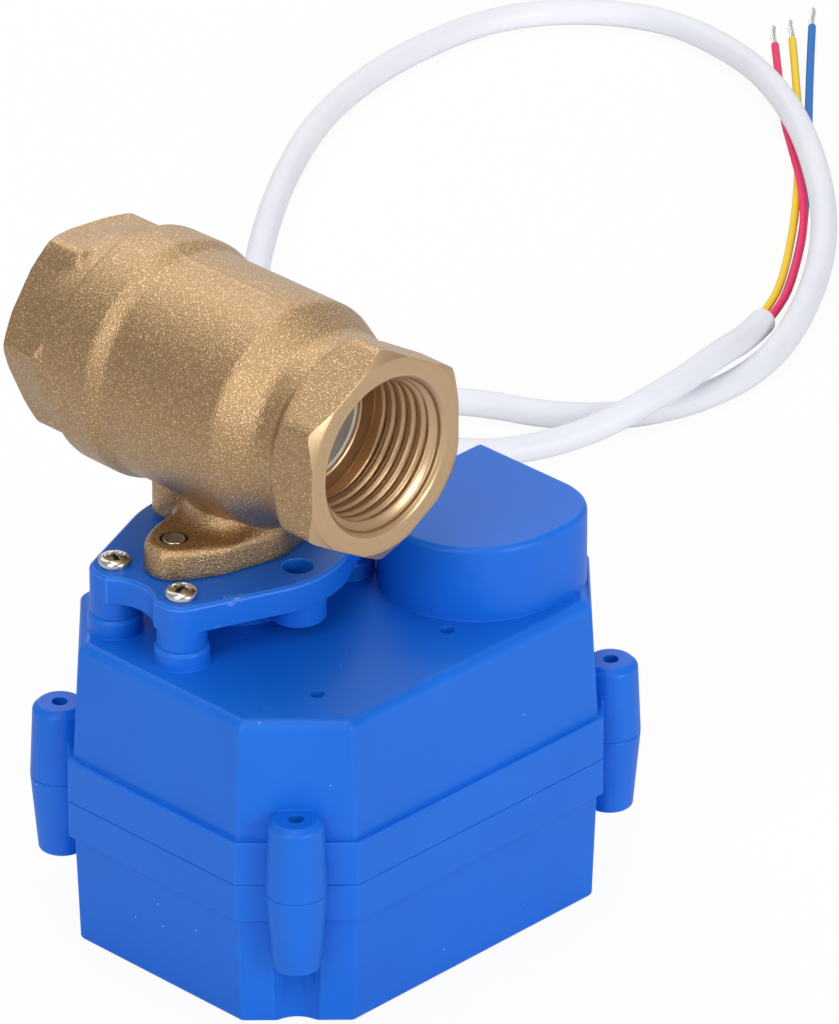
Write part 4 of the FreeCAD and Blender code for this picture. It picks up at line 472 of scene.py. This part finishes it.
def rounded(corners, size):
    """Profile with each inner corner (along, out, rounding) replaced by a parabola of that size."""
    spots = np.array([corner[:2] for corner in corners], float)
    share = np.linspace(0, 1, 7)[:, None]
    line = [spots[:1]]
    for before, spot, after, corner in zip(spots, spots[1:], spots[2:], corners[1:]):
        reach = corner[2] if len(corner) > 2 else size
        back, ahead = before - spot, after - spot
        reach = min(reach, 0.49 * np.linalg.norm(back), 0.49 * np.linalg.norm(ahead))
        start = spot + back / np.linalg.norm(back) * reach
        end = spot + ahead / np.linalg.norm(ahead) * reach
        line.append((1 - share) ** 2 * start + 2 * share * (1 - share) * spot + share ** 2 * end)
    line.append(spots[-1:])
    return np.concatenate(line)


def revolved(profile, centre, axis="Z", steps=96):
    """Profile of (along, out) pairs turned round an axis through a centre."""
    lean = np.arange(steps) / steps * TURN
    along, out = profile[:, :1], profile[:, 1:]
    first, second = out * np.cos(lean), out * np.sin(lean)
    level = np.broadcast_to(along, first.shape)
    order = {"Y": (second, level, first), "Z": (first, second, level)}[axis]
    return np.stack(order, axis=-1) + np.asarray(centre, float)


def ease(value, start, end):
    """Smooth step from 0 at start to 1 at end."""
    share = np.clip((value - start) / (end - start), 0, 1)
    return share * share * (3 - 2 * share)


def soft_min(first, second, width):
    """Smaller of two values, rounded where they cross over the width."""
    share = np.clip(0.5 + 0.5 * (second - first) / width, 0, 1)
    return second * (1 - share) + first * share - width * share * (1 - share)


def soft_max(first, second, width):
    """Larger of two values, rounded where they cross over the width."""
    return -soft_min(-first, -second, width)


# Brass

COLUMNS = 336
AROUND = np.arange(COLUMNS) / COLUMNS * TURN
HALF_SIDE = math.pi / 6
BRASS = ["brass_cast", "brass_turned"]


def hexagon(lean, corner, first):
    """Distance from the pipe axis to a hexagon's side at each angle, its corners rounded as cast."""
    off = (lean - first + HALF_SIDE) % (2 * HALF_SIDE) - HALF_SIDE
    return soft_min(corner * math.cos(HALF_SIDE) / np.cos(HALF_SIDE - np.abs(off)), corner - 0.18, 0.55)


def round_pipe(along, out):
    """Points from places along the pipe and distances from its axis, both as rows by columns."""
    along = np.broadcast_to(along, out.shape)
    return np.stack([out * np.sin(AROUND), along, PIPE_HEIGHT + out * np.cos(AROUND)], axis=-1)


def ring(place, radius):
    """Row of a turned shape: one place along the pipe and one distance from its axis."""
    return place, np.full(COLUMNS, radius)


def port_rows(face, hand):
    """Bore of a port from its face inwards: lead-in, thread that fades at both ends, relief and lip.

    The thread runs on a helix. Its ridge at place p and angle a is the root of |sin(pi w)| with
    w = p / pitch - a / turn: broad crests between narrow grooves.
    """
    depth = np.linspace(0.55, THREAD_DEPTH, 96)
    place = face + hand * depth[:, None]
    wave = (place / THREAD_PITCH - AROUND / TURN) % 1
    ridge = np.sqrt(np.sin(math.pi * wave))
    there = ease(depth, 1.0, 2.1) * (1 - ease(depth, 10.2, 10.8))
    thread = THREAD_RADIUS + 0.03 - 1.12 * there[:, None] * ridge
    lead = [(0.0, 11.05), (0.1, 10.9), (0.45, 10.56)]
    inner = [(THREAD_DEPTH, 10.5), (10.95, 10.9), (12.75, 10.9), (12.8, 10.85), (12.8, 8.55), (12.95, 8.35),
             (13.3, LIP_RADIUS), (13.38, 8.34), (13.4, 8.4)]
    rows = [ring(face + hand * down, out) for down, out in lead]
    rows += list(zip(place[:, 0], thread))
    rows += [ring(face + hand * down, out) for down, out in inner]
    return rows


def face_rows(face, hand, corner, first):
    """Outside of a port from its bore's edge: flat face, turned chamfer, and the hexagon where they meet."""
    chamfer, lead = 0.95, 11.05
    side = hexagon(AROUND, corner, first)
    rim = corner * math.cos(HALF_SIDE) + 0.35
    slope = (corner - rim) / chamfer
    edge = np.minimum(side, rim)
    drop = np.maximum(side - rim, 0) / slope
    rows = []
    for share in (0.0, 0.35, 0.7, 1.0):
        rows.append((np.full(COLUMNS, float(face)), lead + (edge - 0.12 - lead) * share))
    rows.append((face + hand * 0.05 + 0 * edge, edge - 0.02))
    for share in (0.08, 0.5, 1.0):
        rows.append((face + hand * (0.1 + drop * share), edge + (side - edge) * share))
    return rows, side, drop


def stack(rows):
    """Grid of points from rows of (places along, distances out)."""
    along = np.array([np.broadcast_to(place, COLUMNS) for place, out in rows])
    out = np.array([np.broadcast_to(out, COLUMNS) for place, out in rows])
    return round_pipe(along, out)


def valve_casting():
    """Body from seam to front port: the larger of a turned profile and a hexagon with a sloped back."""
    front, shoulder = FRONT_FACE, 13.2
    outline = rounded([
        (front, 12.4), (-19.6, shoulder, 0.8), (-16.2, shoulder, 0.8), (-10.8, BARREL_RADIUS, 0.55),
        (9.0, BARREL_RADIUS, 0.4), (11.5, 16.48, 0.45), (SEAM - 0.7, 16.4, 0.8), (SEAM, BARREL_RADIUS),
    ], 1.0)
    faces, side, drop = face_rows(front, 1, FRONT_CORNER, 0.0)
    share = np.linspace(0.012, 1, 118)[:, None]
    start = front + 0.1 + drop
    place = start + (SEAM - start) * share
    barrel = np.interp(place, outline[:, 0], outline[:, 1])
    back = 15.5 - 1.15 * (place + 21.5)
    hexed = soft_min(np.broadcast_to(side, place.shape), back, 0.7)
    flash = 0.16 * np.exp(-((np.abs(AROUND - math.pi) - math.pi) * BARREL_RADIUS / 0.32) ** 2)
    out = soft_max(barrel, hexed, 0.45) + flash * ease(place, -12, -4) * (1 - ease(place, 9, 12))
    inside = [(SEAM, 15.4), (SEAM, CHAMBER_RADIUS), (8.2, CHAMBER_RADIUS), (8.2, CAVITY_RADIUS),
              (-8.2, CAVITY_RADIUS), (-8.2, MOUTH_RADIUS), (front + 13.4, MOUTH_RADIUS)]
    return half_valve(faces, place, out, inside, port_rows(front, 1))


def half_valve(faces, place, out, inside, bore):
    """Patch of a port piece: its face, its cast outside, its inside back to the port, and the port's bore."""
    rows = faces + list(zip(place, out)) + [ring(spot, radius) for spot, radius in inside]
    rows += bore[::-1][:-1]
    finish = np.ones(len(rows), int)
    finish[len(faces) - 1:len(faces) + len(place)] = 0
    return patch(stack(rows), along=True, finish=finish)


def end_piece():
    """End piece: round collar, hexagon turned a little against the front one, and the rear port."""
    rear, neck, hexagon_start = REAR_FACE, 14.2, 22.6
    outline = rounded([(SEAM, CHAMBER_RADIUS), (SEAM + 0.1, 13.6, 0.1), (SEAM + 0.35, 13.7, 0.1),
                       (SEAM + 0.5, neck, 0.2), (hexagon_start, neck, 0.8), (rear, 12.4)], 0.6)
    faces, side, drop = face_rows(rear, -1, REAR_CORNER, REAR_TURN)
    share = np.linspace(0.03, 1, 50)[:, None]
    start = rear - 0.1 - drop
    place = start + (SEAM - start) * share
    collar = np.interp(place, outline[:, 0], outline[:, 1])
    hexed = soft_min(np.broadcast_to(side, place.shape), 15.35 - 1.3 * (hexagon_start - place), 0.6)
    out = soft_max(collar, hexed, 0.4)
    inside = [(SEAM, 12.9), (8.45, 12.9), (8.4, 12.8), (8.4, 11.35), (8.5, MOUTH_RADIUS),
              (13.9, MOUTH_RADIUS), (13.9, 8.4), (13.95, LIP_RADIUS), (15.45, LIP_RADIUS), (15.5, 8.4)]
    bore = [row for row in port_rows(rear, -1) if row[0] > 15.6]
    return half_valve(faces, place, out, inside, bore)


def disc_hull(discs, count):
    """Distance from the origin to the band round discs (x, y, radius), at evenly spaced angles."""
    lean = np.arange(1440) / 1440 * TURN
    aim = np.stack([np.cos(lean), np.sin(lean)])
    centres = np.array([disc[:2] for disc in discs])
    radii = np.array([disc[2] for disc in discs])
    owner = np.argmax(centres @ aim + radii[:, None], axis=0)
    spots = centres[owner] + radii[owner, None] * aim.T
    step = np.roll(spots, -1, axis=0) - spots
    far = np.concatenate([[0], np.cumsum(np.hypot(*step.T))])
    whole = np.concatenate([spots, spots[:1]])
    even = np.linspace(0, far[-1], 4000, endpoint=False)
    line = np.stack([np.interp(even, far, whole[:, axis]) for axis in range(2)], axis=1)
    angle = np.arctan2(line[:, 1], line[:, 0]) % TURN
    order = np.argsort(angle)
    return np.interp(np.arange(count) / count * TURN, angle[order], np.hypot(*line[order].T), period=TURN)


def under_barrel(x):
    """Height of the barrel's underside above a place at x from the pipe axis."""
    return PIPE_HEIGHT - np.sqrt(np.maximum(BARREL_RADIUS ** 2 - x ** 2, 1.0))


def grown_column(centre, out, low, flare, count):
    """Rows of a column that flares out by a quarter round as it grows into the barrel."""
    lean = np.arange(count) / count * TURN
    rows = []
    for share in np.linspace(0, 1, 12):
        rows.append((out + 0 * lean, share, 0.0))
    for turn in np.linspace(0, math.pi / 2, 10)[1:]:
        rows.append((out + flare * (1 - math.cos(turn)) + 0 * lean, 1.0, math.sin(turn)))
    grid = []
    for reach, share, rise in rows:
        x = centre[0] + reach * np.cos(lean)
        y = centre[1] + reach * np.sin(lean)
        roof = under_barrel(x) - flare * 0.75
        height = low + (roof - low) * share + flare * rise
        grid.append(np.stack([x, y, height], axis=-1))
    inner = grid[-1].copy()
    inner[:, 2] += 1.2
    grid.append(inner)
    return np.array(grid)


def neck_and_flange():
    """Flange with two ears, waisted beside the lobe, its top scooped up into the neck under the barrel."""
    count = 288
    lean = np.arange(count) / count * TURN
    rim = disc_hull([(EAR_DISTANCE, 0, EAR_RADIUS), (6.3, 0, 6.7), (0, 0, 8.1), (-6.3, 0, 6.7),
                     (-EAR_DISTANCE, 0, EAR_RADIUS)], count)
    for waist in (math.radians(37), math.radians(143)):
        rim *= 1 - 0.17 * np.exp(-((lean - waist) / math.radians(12)) ** 2)
    rows = []

    def row(out, height):
        rows.append(np.stack([out * np.cos(lean), out * np.sin(lean), height + 0 * lean], axis=-1))

    row(np.full(count, STEM_BORE), PLATE_TOP)
    row(rim * 0.7, PLATE_TOP)
    row(rim - 0.35, PLATE_TOP)
    row(rim - 0.05, PLATE_TOP + 0.25)
    top, edge = PLATE_TOP + 4.4, 1.15
    scoop = 2.4

    def lift(out):
        near = np.clip(9.0 - out, 0, scoop)
        return scoop - np.sqrt(scoop ** 2 - near ** 2)

    for share in np.linspace(0.1, 1, 8):
        row(rim - 0.12 * share, PLATE_TOP + 0.3 + (4.1 - edge) * share)
    for turn in np.linspace(0, math.pi / 2, 8)[1:]:
        out = rim - 0.12 - edge * (1 - math.cos(turn))
        row(out, top - edge + edge * math.sin(turn) + lift(out) * math.sin(turn))
    start = rim - 0.12 - edge
    for share in np.linspace(0, 1, 22)[1:]:
        out = start + (NECK_RADIUS + 0.02 - start) * share
        row(out, top + lift(out))
    rows += list(grown_column((0, 0), NECK_RADIUS, top + scoop, 2.6, count))
    row(np.full(count, STEM_BORE), 63.5)
    return patch(np.array(rows), along=True)


def lobe():
    """Lobe beside the neck: a column grown into the barrel, with its ends drawn together."""
    rows = grown_column(LOBE_PLACE, LOBE_RADIUS, PLATE_TOP + 0.75, 2.2, 96)
    ends = []
    for end in (rows[:1].copy(), rows[-1:].copy()):
        end[..., :2] = LOBE_PLACE + (end[..., :2] - LOBE_PLACE) * 0.02
        ends.append(end)
    return patch(np.concatenate([ends[0], rows, ends[1]]), along=True)


def valve_body():
    """Casting, neck with flange, and the lobe beside the neck, with the screw holes cut through the ears."""
    make("valve_casting", [valve_casting()], BRASS, "valve_body", slot="brass_cast")
    neck = make("valve_neck", [neck_and_flange()], BRASS, "valve_body", replace=False, slot="brass_cast")
    make("valve_lobe", [lobe()], BRASS, "valve_body", replace=False, slot="brass_cast")
    profile = np.array([(50.0, 0.001), (50.0, EAR_BORE), (62.0, EAR_BORE), (62.0, 0.001)])
    drills = [patch(revolved(profile, (x, 0, 0), steps=64), along=True)
              for x in (EAR_DISTANCE, -EAR_DISTANCE)]
    apply_cut(neck, added("drill", joined("drill", drills)))


def apply_cut(item, cutter):
    """Cut one mesh out of another for good, and remove the cutter."""
    tidy = bmesh.new()
    tidy.from_mesh(cutter.data)
    bmesh.ops.remove_doubles(tidy, verts=tidy.verts, dist=1e-5)
    bmesh.ops.recalc_face_normals(tidy, faces=tidy.faces)
    tidy.to_mesh(cutter.data)
    tidy.free()
    cut = item.modifiers.new("cut", "BOOLEAN")
    cut.operation, cut.solver, cut.object = "DIFFERENCE", "EXACT", cutter
    bpy.context.view_layer.update()
    ready = item.evaluated_get(bpy.context.evaluated_depsgraph_get())
    finished = bpy.data.meshes.new_from_object(ready)
    item.modifiers.clear()
    item.data = finished
    item.data.set_sharp_from_angle(angle=math.radians(CREASE))
    bpy.data.objects.remove(cutter)


def valve_ball():
    """Polished ball: sphere cut by its bore, whose edges are rounded, and slotted for the stem."""
    start = math.asin(BALL_BORE / BALL_RADIUS) + 0.02
    lean = np.linspace(start, math.pi - start, 72)
    sphere = BALL_RADIUS * np.stack([-np.cos(lean), np.sin(lean)], axis=1)
    end = BALL_RADIUS * math.cos(start)
    bore = np.array([(end - 0.05, BALL_BORE + 0.12), (end - 0.3, BALL_BORE), (0.0, BALL_BORE),
                     (0.3 - end, BALL_BORE), (0.05 - end, BALL_BORE + 0.12)])
    profile = np.concatenate([sphere, bore])
    item = make("ball_polished", [patch(revolved(profile, (0, 0, PIPE_HEIGHT), "Y", 144), along=True)],
                ["chrome_ball"], "ball")
    slot = bpy.data.meshes.new("slot")
    tool = bmesh.new()
    bmesh.ops.create_cube(tool, size=1.0, matrix=Matrix.Translation((0, 0, 0.0642)) @ Matrix.Diagonal(
        (0.026, 0.0035, 0.0048, 1)))
    tool.to_mesh(slot)
    tool.free()
    apply_cut(item, added("slot", slot))


# Screws

def screw_head(centre, radius, height, shank, length, turn, down=False):
    """Pan head with a cross recess, and its shank: the head's height is a dome less the cross."""
    steps = 96
    lean = np.arange(steps) / steps * TURN
    reach = np.concatenate([np.linspace(0.0, 0.72, 26), np.linspace(0.75, 1.0, 12)])[:, None] * radius
    x, y = reach * np.cos(lean + turn), reach * np.sin(lean + turn)
    dome = height * (0.42 + 0.58 * np.sqrt(np.clip(1 - (reach / radius) ** 2.6, 0, 1)))

    def arm(across, ahead):
        wide = 0.15 * radius
        reached = 1 - ease(np.abs(ahead), 0.50 * radius, 0.66 * radius)
        return (1 - ease(np.abs(across), wide * 0.8, wide * 1.3)) * reached

    cross = np.maximum(arm(x, y), arm(y, x))
    height_here = dome - cross * height * 0.70 * (1 - 0.3 * reach / radius)
    top = np.stack([reach * np.cos(lean), reach * np.sin(lean), height_here], axis=-1)
    inside = cross[:-1] + cross[1:]
    inside = (inside + np.roll(inside, -1, axis=1)) / 4
    below = [(0.12 * height, radius), (0.0, radius * 0.985), (0.0, shank), (-length, shank * 0.97),
             (-length - 0.5, 0.0)]
    tail = np.array([[(r * math.cos(a), r * math.sin(a), z) for a in lean] for z, r in below])
    grid = np.concatenate([top, tail])
    if down:
        grid = grid * np.array([1, -1, -1])
    finish = np.zeros((len(grid) - 1, steps), int)
    # faces deep in the cross take the second finish, a dark nickel painted as shade in the recess
    finish[:len(inside)] = inside > 0.55
    return patch(grid + np.asarray(centre, float), finish=finish)


def screws():
    """Four bracket screws, four cover screws from below, and two flange screws that end in the ears."""
    nickel = ["nickel_steel", "recess"]
    posts = [(-16.35, 6.2, 0.5), (-16.35, -6.2, 1.2), (16.0, 4.4, 0.2), (16.0, -4.4, 0.9)]
    heads = [screw_head((x, y, PLATE_TOP), 2.15, 1.5, 1.04, 9.4, turn) for x, y, turn in posts]
    make("bracket_screw_heads", heads, nickel, "bracket_screws")
    lugs = ((LUG_X, LUG_Y, 0.3), (LUG_X, -LUG_Y, 1.0), (-LUG_X, LUG_Y, 0.7), (-LUG_X, -LUG_Y, 0.1))
    heads = [screw_head((MIDDLE_X + x, MIDDLE_Y + y, 10.3), 1.8, 0.65, 0.99, 18.0, turn, down=True)
             for x, y, turn in lugs]
    make("cover_screw_heads", heads, nickel, "cover_screws")
    profile = rounded([(48.6, 0.0), (48.6, 2.8, 0.3), (50.1, 2.8, 0.15), (50.1, 1.6, 0.05), (57.9, 1.6, 0.2),
                       (58.42, 1.45, 0.15), (58.3, 0.9, 0.3), (58.3, 0.0)], 0.1)
    ends = [patch(revolved(profile, (x, 0, 0), steps=72)) for x in (EAR_DISTANCE, -EAR_DISTANCE)]
    make("flange_screw_ends", ends, nickel, "flange_screws")


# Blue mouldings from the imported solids

SAME_LEVEL = 0.02


def softened(node, name, finishes, weigh, reshape=None):
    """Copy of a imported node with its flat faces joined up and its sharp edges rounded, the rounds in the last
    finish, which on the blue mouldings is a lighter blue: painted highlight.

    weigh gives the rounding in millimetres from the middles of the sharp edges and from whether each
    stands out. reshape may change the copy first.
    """
    source = frame["nodes"][node]
    tidy = bmesh.new()
    tidy.from_mesh(source.data)
    bmesh.ops.remove_doubles(tidy, verts=tidy.verts, dist=2e-6)
    bmesh.ops.dissolve_limit(tidy, angle_limit=math.radians(0.4), verts=tidy.verts, edges=tidy.edges)
    if reshape:
        reshape(tidy)
    layer = tidy.edges.layers.float.new("bevel_weight_edge")
    least = math.radians(25)
    sharp = [edge for edge in tidy.edges if edge.is_manifold and edge.calc_face_angle() > least]
    middles = np.array([(edge.verts[0].co + edge.verts[1].co) / 2 for edge in sharp]) / MM
    standing = np.array([edge.is_convex for edge in sharp])
    for edge, weight in zip(sharp, weigh(middles, standing)):
        edge[layer] = float(weight)
    mesh = bpy.data.meshes.new(name)
    tidy.to_mesh(mesh)
    tidy.free()
    mesh.materials.clear()
    for finish in finishes:
        mesh.materials.append(FINISHES[finish])
    mesh.polygons.foreach_set("material_index", np.zeros(len(mesh.polygons), np.int32))
    mesh.shade_smooth()
    item = added(name, mesh)
    bevel = item.modifiers.new("edges", "BEVEL")
    # the rounds take the last finish; on the housing, cover and bracket that is a lighter blue, a painted
    # highlight along the edges
    bevel.material = len(finishes) - 1
    bevel.width, bevel.segments = MM, 3
    bevel.limit_method = "WEIGHT"
    bevel.use_clamp_overlap = False
    smooth = item.modifiers.new("even_shading", "WEIGHTED_NORMAL")
    smooth.mode, smooth.weight, smooth.keep_sharp = "FACE_AREA", 90, True
    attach(item, BODY_OF[node])
    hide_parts(node)
    return item


def tighter_roof(tidy):
    """Make the roof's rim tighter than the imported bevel.

    The upper corners move a quarter of the way out to the lower ring, at a right angle to the line through
    the two nearest lower corners, and the lower ring is lifted.
    """
    spots = np.array([corner.co for corner in tidy.verts]) / MM
    moved = spots.copy()
    upper = np.flatnonzero(np.abs(spots[:, 2] - ROOF_TOP) < SAME_LEVEL)
    lower = np.flatnonzero(np.abs(spots[:, 2] - ROOF_RING) < SAME_LEVEL)
    apart = np.linalg.norm(spots[upper, None, :2] - spots[None, lower, :2], axis=2)
    widest = 1.8
    near = apart.min(axis=1) < widest
    order = np.argsort(apart, axis=1)
    first = spots[lower[order[:, 0]], :2]
    along = spots[lower[order[:, 1]], :2] - first
    along /= np.maximum(np.linalg.norm(along, axis=1, keepdims=True), 1e-6)
    out = first - spots[upper, :2]
    square = out - (out * along).sum(axis=1, keepdims=True) * along
    out = np.where(np.linalg.norm(out, axis=1, keepdims=True) > 1.5, out, square)
    moved[upper[near], :2] += 0.25 * out[near]
    moved[lower[apart.min(axis=0) < widest], 2] += 0.30
    for corner, spot in zip(tidy.verts, moved):
        corner.co = Vector(spot) * MM


def square_pocket(tidy):
    """Take the bevel off the pocket's top: its walls go up to one flat top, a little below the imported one."""
    foot = (POCKET_RING - SAME_LEVEL) * MM
    over = [face for face in tidy.faces if min(corner.co.z for corner in face.verts) > foot]
    bmesh.ops.delete(tidy, geom=over, context="FACES")
    for corner in tidy.verts:
        if abs(corner.co.z - POCKET_RING * MM) < SAME_LEVEL * MM:
            corner.co.z = POCKET_TOP * MM
    open_edges = [edge for edge in tidy.edges if edge.is_boundary and edge.verts[0].co.z > foot]
    bmesh.ops.holes_fill(tidy, edges=open_edges)
    bmesh.ops.recalc_face_normals(tidy, faces=tidy.faces)


def reshape_housing(tidy):
    """Rims of roof and pocket as the photograph shows them."""
    tighter_roof(tidy)
    square_pocket(tidy)


def inside_walls(spots):
    """Whether places lie well inside the actuator's outline, so that nothing shows them."""
    x, y = np.abs(spots[:, 0] - MIDDLE_X), np.abs(spots[:, 1] - MIDDLE_Y)
    corner = (x + y - (HALF_LENGTH + HALF_WIDTH - CORNER_LEG)) / math.sqrt(2)
    depth = -np.maximum(np.maximum(x - HALF_LENGTH, y - HALF_WIDTH), corner)
    return (depth > 1.7) & (spots[:, 2] < ROOF_RING - 0.2)


def even_rounds(outer, inner):
    """Rule that gives one round to every edge that stands out and another to the rest."""
    return lambda spots, standing: np.where(standing, outer, inner)


def shell_rounds(spots, standing):
    """Small rounds on the outside edges of a shell of the actuator, none inside."""
    weights = even_rounds(0.22, 0.08)(spots, standing)
    weights[inside_walls(spots) & (spots[:, 2] > 1.0)] = 0.0
    return weights


def housing_rounds(spots, standing):
    """Rounds of a shell, with larger ones on the rims of roof and pocket, and fine ones round small holes."""
    height = spots[:, 2]
    weights = shell_rounds(spots, standing)
    weights[standing & (height > POCKET_TOP - 1.2)] = 0.85
    weights[standing & (height > 45) & (height < 54)] = 0.7
    weights[standing & (height > 43.3) & (height < 44.8)] = 0.45
    reach = np.hypot(np.abs(spots[:, 0] - MIDDLE_X) - LUG_X, np.abs(spots[:, 1] - MIDDLE_Y) - LUG_Y)
    weights[standing & (height > 31.1) & (height < 32.3) & (reach < 4.3)] = 0.24
    weights[reach < 1.5] = 0.05
    for x, y in DIMPLES:
        weights[np.hypot(spots[:, 0] - x, spots[:, 1] - y) < 2.5] = 0.06
    weights[inside_walls(spots)] = 0.0
    return weights


def mouldings():
    """Housing, cover, bracket and grommet with their edges rounded as moulded."""
    # second finish: lighter blue on the rounds, painted highlight
    blue = ["blue_plastic", "blue_edge_highlight"]
    softened("gearbox_housing", "housing_moulding", blue, housing_rounds, reshape_housing)
    softened("bottom_cover", "cover_moulding", blue, shell_rounds)
    # bracket: its blue a little darker as painted shade, its rounds lighter as painted highlight
    softened("mounting_bracket", "bracket_moulding", ["blue_plate", "bracket_edge_highlight"], even_rounds(0.17, 0.05))
    softened("cable_gland", "cable_grommet", ["white_rubber"], even_rounds(0.25, 0.05))


# Cords

def curve_cord(name, route, diameter, slot):
    """Smooth cord whose control points are the route's."""
    data = bpy.data.curves.new(name, "CURVE")
    data.dimensions = "3D"
    spline = data.splines.new("NURBS")
    spline.points.add(len(route) - 1)
    spots = np.ones((len(route), 4))
    spots[:, :3] = np.array(route) * MM
    spline.points.foreach_set("co", spots.ravel())
    spline.order_u = 3
    spline.use_endpoint_u = True
    spline.resolution_u = 16
    data.bevel_depth = diameter / 2 * MM
    data.bevel_resolution = 7
    data.use_fill_caps = True
    data.materials.append(FINISHES[slot])
    item = added(name, data)
    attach(item, "actuator")
    return item


def strands(route, seed):
    """Twisted bare end: a rod whose section has five lobes that turn along it, narrowed to a blunt tip."""
    start, before = np.array(route[-1]), np.array(route[-2])
    ahead = (start - before) / np.linalg.norm(start - before)
    side = np.cross(ahead, (0, 0, 1))
    side /= np.linalg.norm(side)
    up = np.cross(side, ahead)
    along = np.linspace(-0.3, BARE_LENGTH, 150)[:, None]
    lean = np.arange(50) / 50 * TURN
    lobes = 0.36 + 0.085 * np.cos(5 * (lean + along * 1.2 + seed)) + 0.03 * np.sin(2 * along + seed)
    tip = np.sqrt(np.clip((BARE_LENGTH + 0.02 - along) / 0.7, 0, 1))
    reach = lobes * tip * (1 - 0.12 * along / BARE_LENGTH)
    sway = 0.10 * np.sin(along * 0.9 + seed) * ease(along, 0, 3)
    points = (start + along[..., None] * ahead
              + (reach * np.cos(lean) + sway)[..., None] * side + (reach * np.sin(lean))[..., None] * up)
    cap = points[:1] * 0 + start - 0.3 * ahead
    return patch(np.concatenate([cap, points]))


def cords():
    """Cable and its three wires, with their bare ends."""
    jacket = curve_cord("cable", CABLE_ROUTE, CABLE_DIAMETER, "white_pvc")
    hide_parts("cable_jacket")
    twists = [strands(YELLOW_ROUTE, 0.4), strands(RED_ROUTE, 1.9), strands(BLUE_ROUTE, 3.3)]
    ends = make("bare_strands", twists, ["tinned_copper"], "wire_ends", crease=60)
    [v * MM for v in CABLE_ROUTE[0]]
    for colour, route in (("yellow", YELLOW_ROUTE), ("red", RED_ROUTE), ("blue", BLUE_ROUTE)):
        wire = curve_cord(f"{colour}_lead", route, WIRE_DIAMETER, f"{colour}_pvc")
        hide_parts(f"{colour}_wire")
        [v * MM for v in route[0]]


# Light and floor

def light(name, spot, sizes, power):
    """Soft light of a width and height at a spot, turned towards the object."""
    data = bpy.data.lights.new(name, "AREA")
    data.shape = "RECTANGLE"
    data.size, data.size_y = sizes
    data.energy = power
    item = added(name, data)
    aim = Vector((0.05, 0.0, 0.05))
    item.location = spot
    item.rotation_euler = (aim - Vector(spot)).to_track_quat("-Z", "Y").to_euler()


def studio():
    """White floor and surroundings, with soft lights at the left, right, top, rear top and back."""
    world = bpy.data.worlds.new("studio")
    bpy.context.scene.world = world
    world.use_nodes = True
    tree = world.node_tree
    sky = tree.nodes["Background"]
    sky.inputs["Color"].default_value = (1, 1, 1, 1)
    rays = add(tree, "ShaderNodeLightPath")
    seen = add(tree, "ShaderNodeMath", operation="MAXIMUM")
    through = add(tree, "ShaderNodeMath", operation="MAXIMUM")
    tree.links.new(rays.outputs["Is Camera Ray"], through.inputs[0])
    tree.links.new(rays.outputs["Is Transmission Ray"], through.inputs[1])
    glossy = add(tree, "ShaderNodeMath", {1: 0.42}, operation="MULTIPLY")
    tree.links.new(rays.outputs["Is Glossy Ray"], glossy.inputs[0])
    tree.links.new(through.outputs[0], seen.inputs[0])
    tree.links.new(glossy.outputs[0], seen.inputs[1])
    least = add(tree, "ShaderNodeMath", {1: 0.28}, operation="MAXIMUM")
    tree.links.new(seen.outputs[0], least.inputs[0])
    tree.links.new(least.outputs[0], sky.inputs["Strength"])
    light("left_light", (-1.5, -0.42, 1.0), (1.0, 1.9), 13.5)
    light("right_light", (0.0, -1.75, 0.62), (0.9, 0.9), 13.5)
    light("top_light", (0.0, -0.05, 1.75), (0.9, 2.6), 10.5)
    light("rear_top_light", (0.3, 1.35, 1.45), (1.7, 1.7), 8.5)
    light("back_light", (1.25, 1.15, 0.70), (1.6, 1.6), 5.5)
    lay_floor()
    bpy.context.scene.view_settings.view_transform = "Standard"


def lay_floor():
    """Floor that glows white to the camera and keeps the shadow, and is greyer where it is mirrored."""
    floor = bpy.data.meshes.new("floor")
    reach, level = 3, -0.0002
    corners = [(-reach, -reach, level), (reach, -reach, level), (reach, reach, level), (-reach, reach, level)]
    floor.from_pydata(corners, [], [(0, 1, 2, 3)])
    material = bpy.data.materials.new("white_floor")
    material.use_nodes = True
    tree = material.node_tree
    shader = tree.nodes["Principled BSDF"]
    shader.inputs["Roughness"].default_value = 0.9
    glow = add(tree, "ShaderNodeEmission")
    share = add(tree, "ShaderNodeMixShader")
    rays = add(tree, "ShaderNodeLightPath")
    tree.links.new(mix(tree, rays.outputs["Is Glossy Ray"], (0.95, 0.95, 0.95), (0.68, 0.68, 0.68)),
                   shader.inputs["Base Color"])
    most = add(tree, "ShaderNodeMath", {1: 0.93}, operation="MULTIPLY")
    tree.links.new(rays.outputs["Is Camera Ray"], most.inputs[0])
    tree.links.new(most.outputs[0], share.inputs["Fac"])
    tree.links.new(shader.outputs["BSDF"], share.inputs[1])
    tree.links.new(glow.outputs["Emission"], share.inputs[2])
    tree.links.new(share.outputs["Shader"], tree.nodes["Material Output"].inputs["Surface"])
    floor.materials.append(material)
    added("floor", floor)


def paint_nodes():
    """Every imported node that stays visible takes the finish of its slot."""
    for node, item in frame["nodes"].items():
        item.data.materials.clear()
        item.data.materials.append(FINISHES[SLOT_OF[node]])


place_camera()
cords()
paint_nodes()
valve_body()
make("end_casting", [end_piece()], BRASS, "end_adapter", slot="brass_cast")
valve_ball()
screws()
mouldings()
studio()
